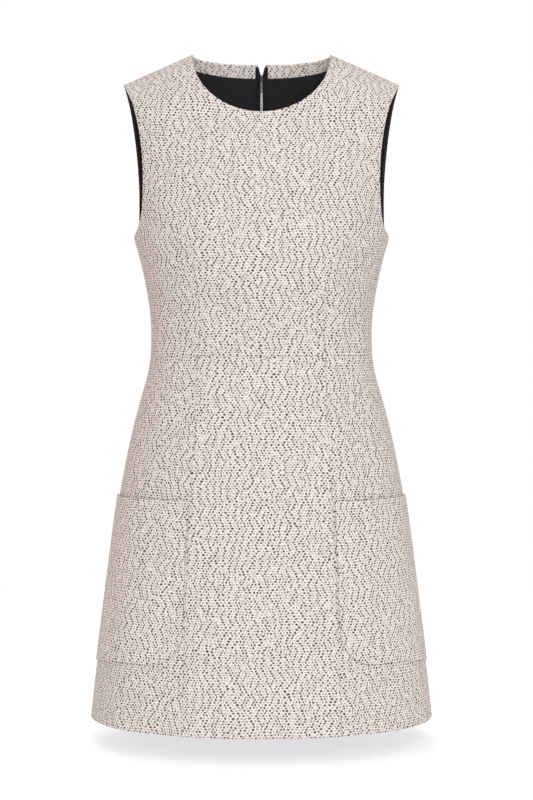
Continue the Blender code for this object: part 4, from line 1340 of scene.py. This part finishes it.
# %% Riding and replacing
HUNG_FROM = [  # a piece of cloth, or a pair, and what it hangs from or lies on
    ("Bodice_Front_Centre", ["Bodice_Back_Left", "Bodice_Back_Right"]),
    ("Bodice_Front_Side", ["Bodice_Front_Centre"]),
    ("Bodice_Back", ["Bodice_Front_Centre"]),
    ("Neck_Facing_Front", ["Bodice_Front_Centre"]),
    ("Neck_Facing_Back", ["Bodice_Back"]),
    ("Lining_Front", ["Bodice_Front_Centre"]),
    ("Lining_Back", ["Bodice_Back"]),
    ("Skirt_Front_Centre", ["Bodice_Front_Centre"]),
    ("Skirt_Front_Side", ["Bodice_Front_Side"]),
    ("Skirt_Back", ["Bodice_Back"]),
    ("Pocket", ["Skirt_Front_Side"]),
]
PAIR = ("_Left", "_Right")


def hand_over(made, node, body="dress"):
    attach(made, body)
    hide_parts(node)


for name, holders in HUNG_FROM:
    for end in ("",) if name in PIECES else PAIR:
        made, size, area = PIECES[name + end]
        if "Facing" in name:
            size = (area / FACING_DEPTH, FACING_DEPTH)  # a curved strip: its own length and depth
        hand_over(made, (name + end).lower())
        print(f"{name + end}: cut {size[0]:.3f} x {size[1]:.3f} m, {area * 1e4:.0f} cm2")
for end in PAIR:
    hand_over(PIECES["Zip_Tape" + end][0], "zip_tape" + end.lower())
hand_over(zip_teeth, "zip_chain")
for row in stitch_rows:
    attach(row, "dress")
hand_over(slider, "zip_slider")
hand_over(pull, "zip_pull", "pull_tab")

# %% [markdown]
# ## Floor, light and camera
#
# The dress hangs just clear of a round white floor that runs on into a white world, so its hem throws
# one soft shadow. The room is white to the camera, but it lights the cloth warmly. Four large, cool
# lamps balance that: the key lamp stands a little to the dress's left, another fills in low
# in front, one reaches the shoulders from above, and one is for the back. Together they leave
# little shade on the cloth, which lets the weave speak.
#
# The camera looks level, from the height of the waist, through a long lens, which keeps the sides of
# the skirt from leaning.

# %% Stage
FLOOR_DROP, FLOOR_RADIUS, FLOOR_CORNERS = 0.031, 1.5, 96
ROOM_LIGHT, ROOM_SEEN = (0.76, 0.70, 0.64, 1), (1, 1, 1, 1)
LAMPS = [  # name, place, aim, size, watts, color
    ("Key", (0.65, -3.0, 1.3), (0, 0, -0.1), 2.0, 46, (0.76, 0.85, 1.0)),
    ("Front", (0.3, -3.4, -0.3), (0, 0, -0.1), 1.0, 26, (0.80, 0.90, 1.0)),
    ("Top", (0.2, -0.9, 2.4), (0, -0.05, 0), 1.2, 10, (0.85, 0.92, 1.0)),
    ("Back", (-0.8, 2.6, 1.4), (0, 0, -0.3), 2.0, 50, (0.82, 0.90, 1.0)),
]
CAMERA_PLACE, CAMERA_LENS, CAMERA_SHIFT = (0.0064, -2.45, -0.346), 86.13, -0.075

angles = np.arange(FLOOR_CORNERS) * 2 * math.pi / FLOOR_CORNERS
rim = np.stack((np.cos(angles), np.sin(angles), 0 * angles), 1) * FLOOR_RADIUS
floor_mesh = bpy.data.meshes.new("Floor")
floor_mesh.from_pydata(rim.tolist(), [], [tuple(range(FLOOR_CORNERS))])
floor_mesh.transform(lifted(HEM - FLOOR_DROP))
floor_mesh.materials.append(new_material("floor_white", {
    "Base Color": (0.4, 0.4, 0.4, 1), "Roughness": 0.9, "Specular IOR Level": 0.1,
    "Emission Color": (0.97, 0.985, 1, 1), "Emission Strength": 0.66})[0])
link(bpy.data.objects.new("Floor", floor_mesh))

world = bpy.data.worlds.new("White_Room")
bpy.context.scene.world = world
world.use_nodes = True
room = world.node_tree
seen = add_node(room, "ShaderNodeLightPath").outputs["Is Camera Ray"]
room.links.new(mixed(room, seen, ROOM_LIGHT, ROOM_SEEN), room.nodes["Background"].inputs["Color"])

for name, place, target, size, power, color in LAMPS:
    lamp = bpy.data.lights.new(name, "AREA")
    lamp.shape, lamp.size, lamp.energy, lamp.color = "DISK", size, power, color
    aim = (Vector(target) - Vector(place)).to_track_quat("-Z", "Y")
    made = link(bpy.data.objects.new(name, lamp))
    made.matrix_world = Matrix.Translation(place) @ aim.to_matrix().to_4x4()

camera_data = bpy.data.cameras.new("Camera")
camera_data.lens, camera_data.shift_y, camera_data.clip_end = CAMERA_LENS, CAMERA_SHIFT, 100
camera = link(bpy.data.objects.new("Camera", camera_data))
camera.matrix_world = Matrix.Translation(CAMERA_PLACE) @ Matrix.Rotation(SIDE, 4, "X")
bpy.context.scene.camera = camera
bpy.context.scene.view_settings.view_transform = "Standard"
print("camera at", [round(v, 3) for v in camera.matrix_world.translation])
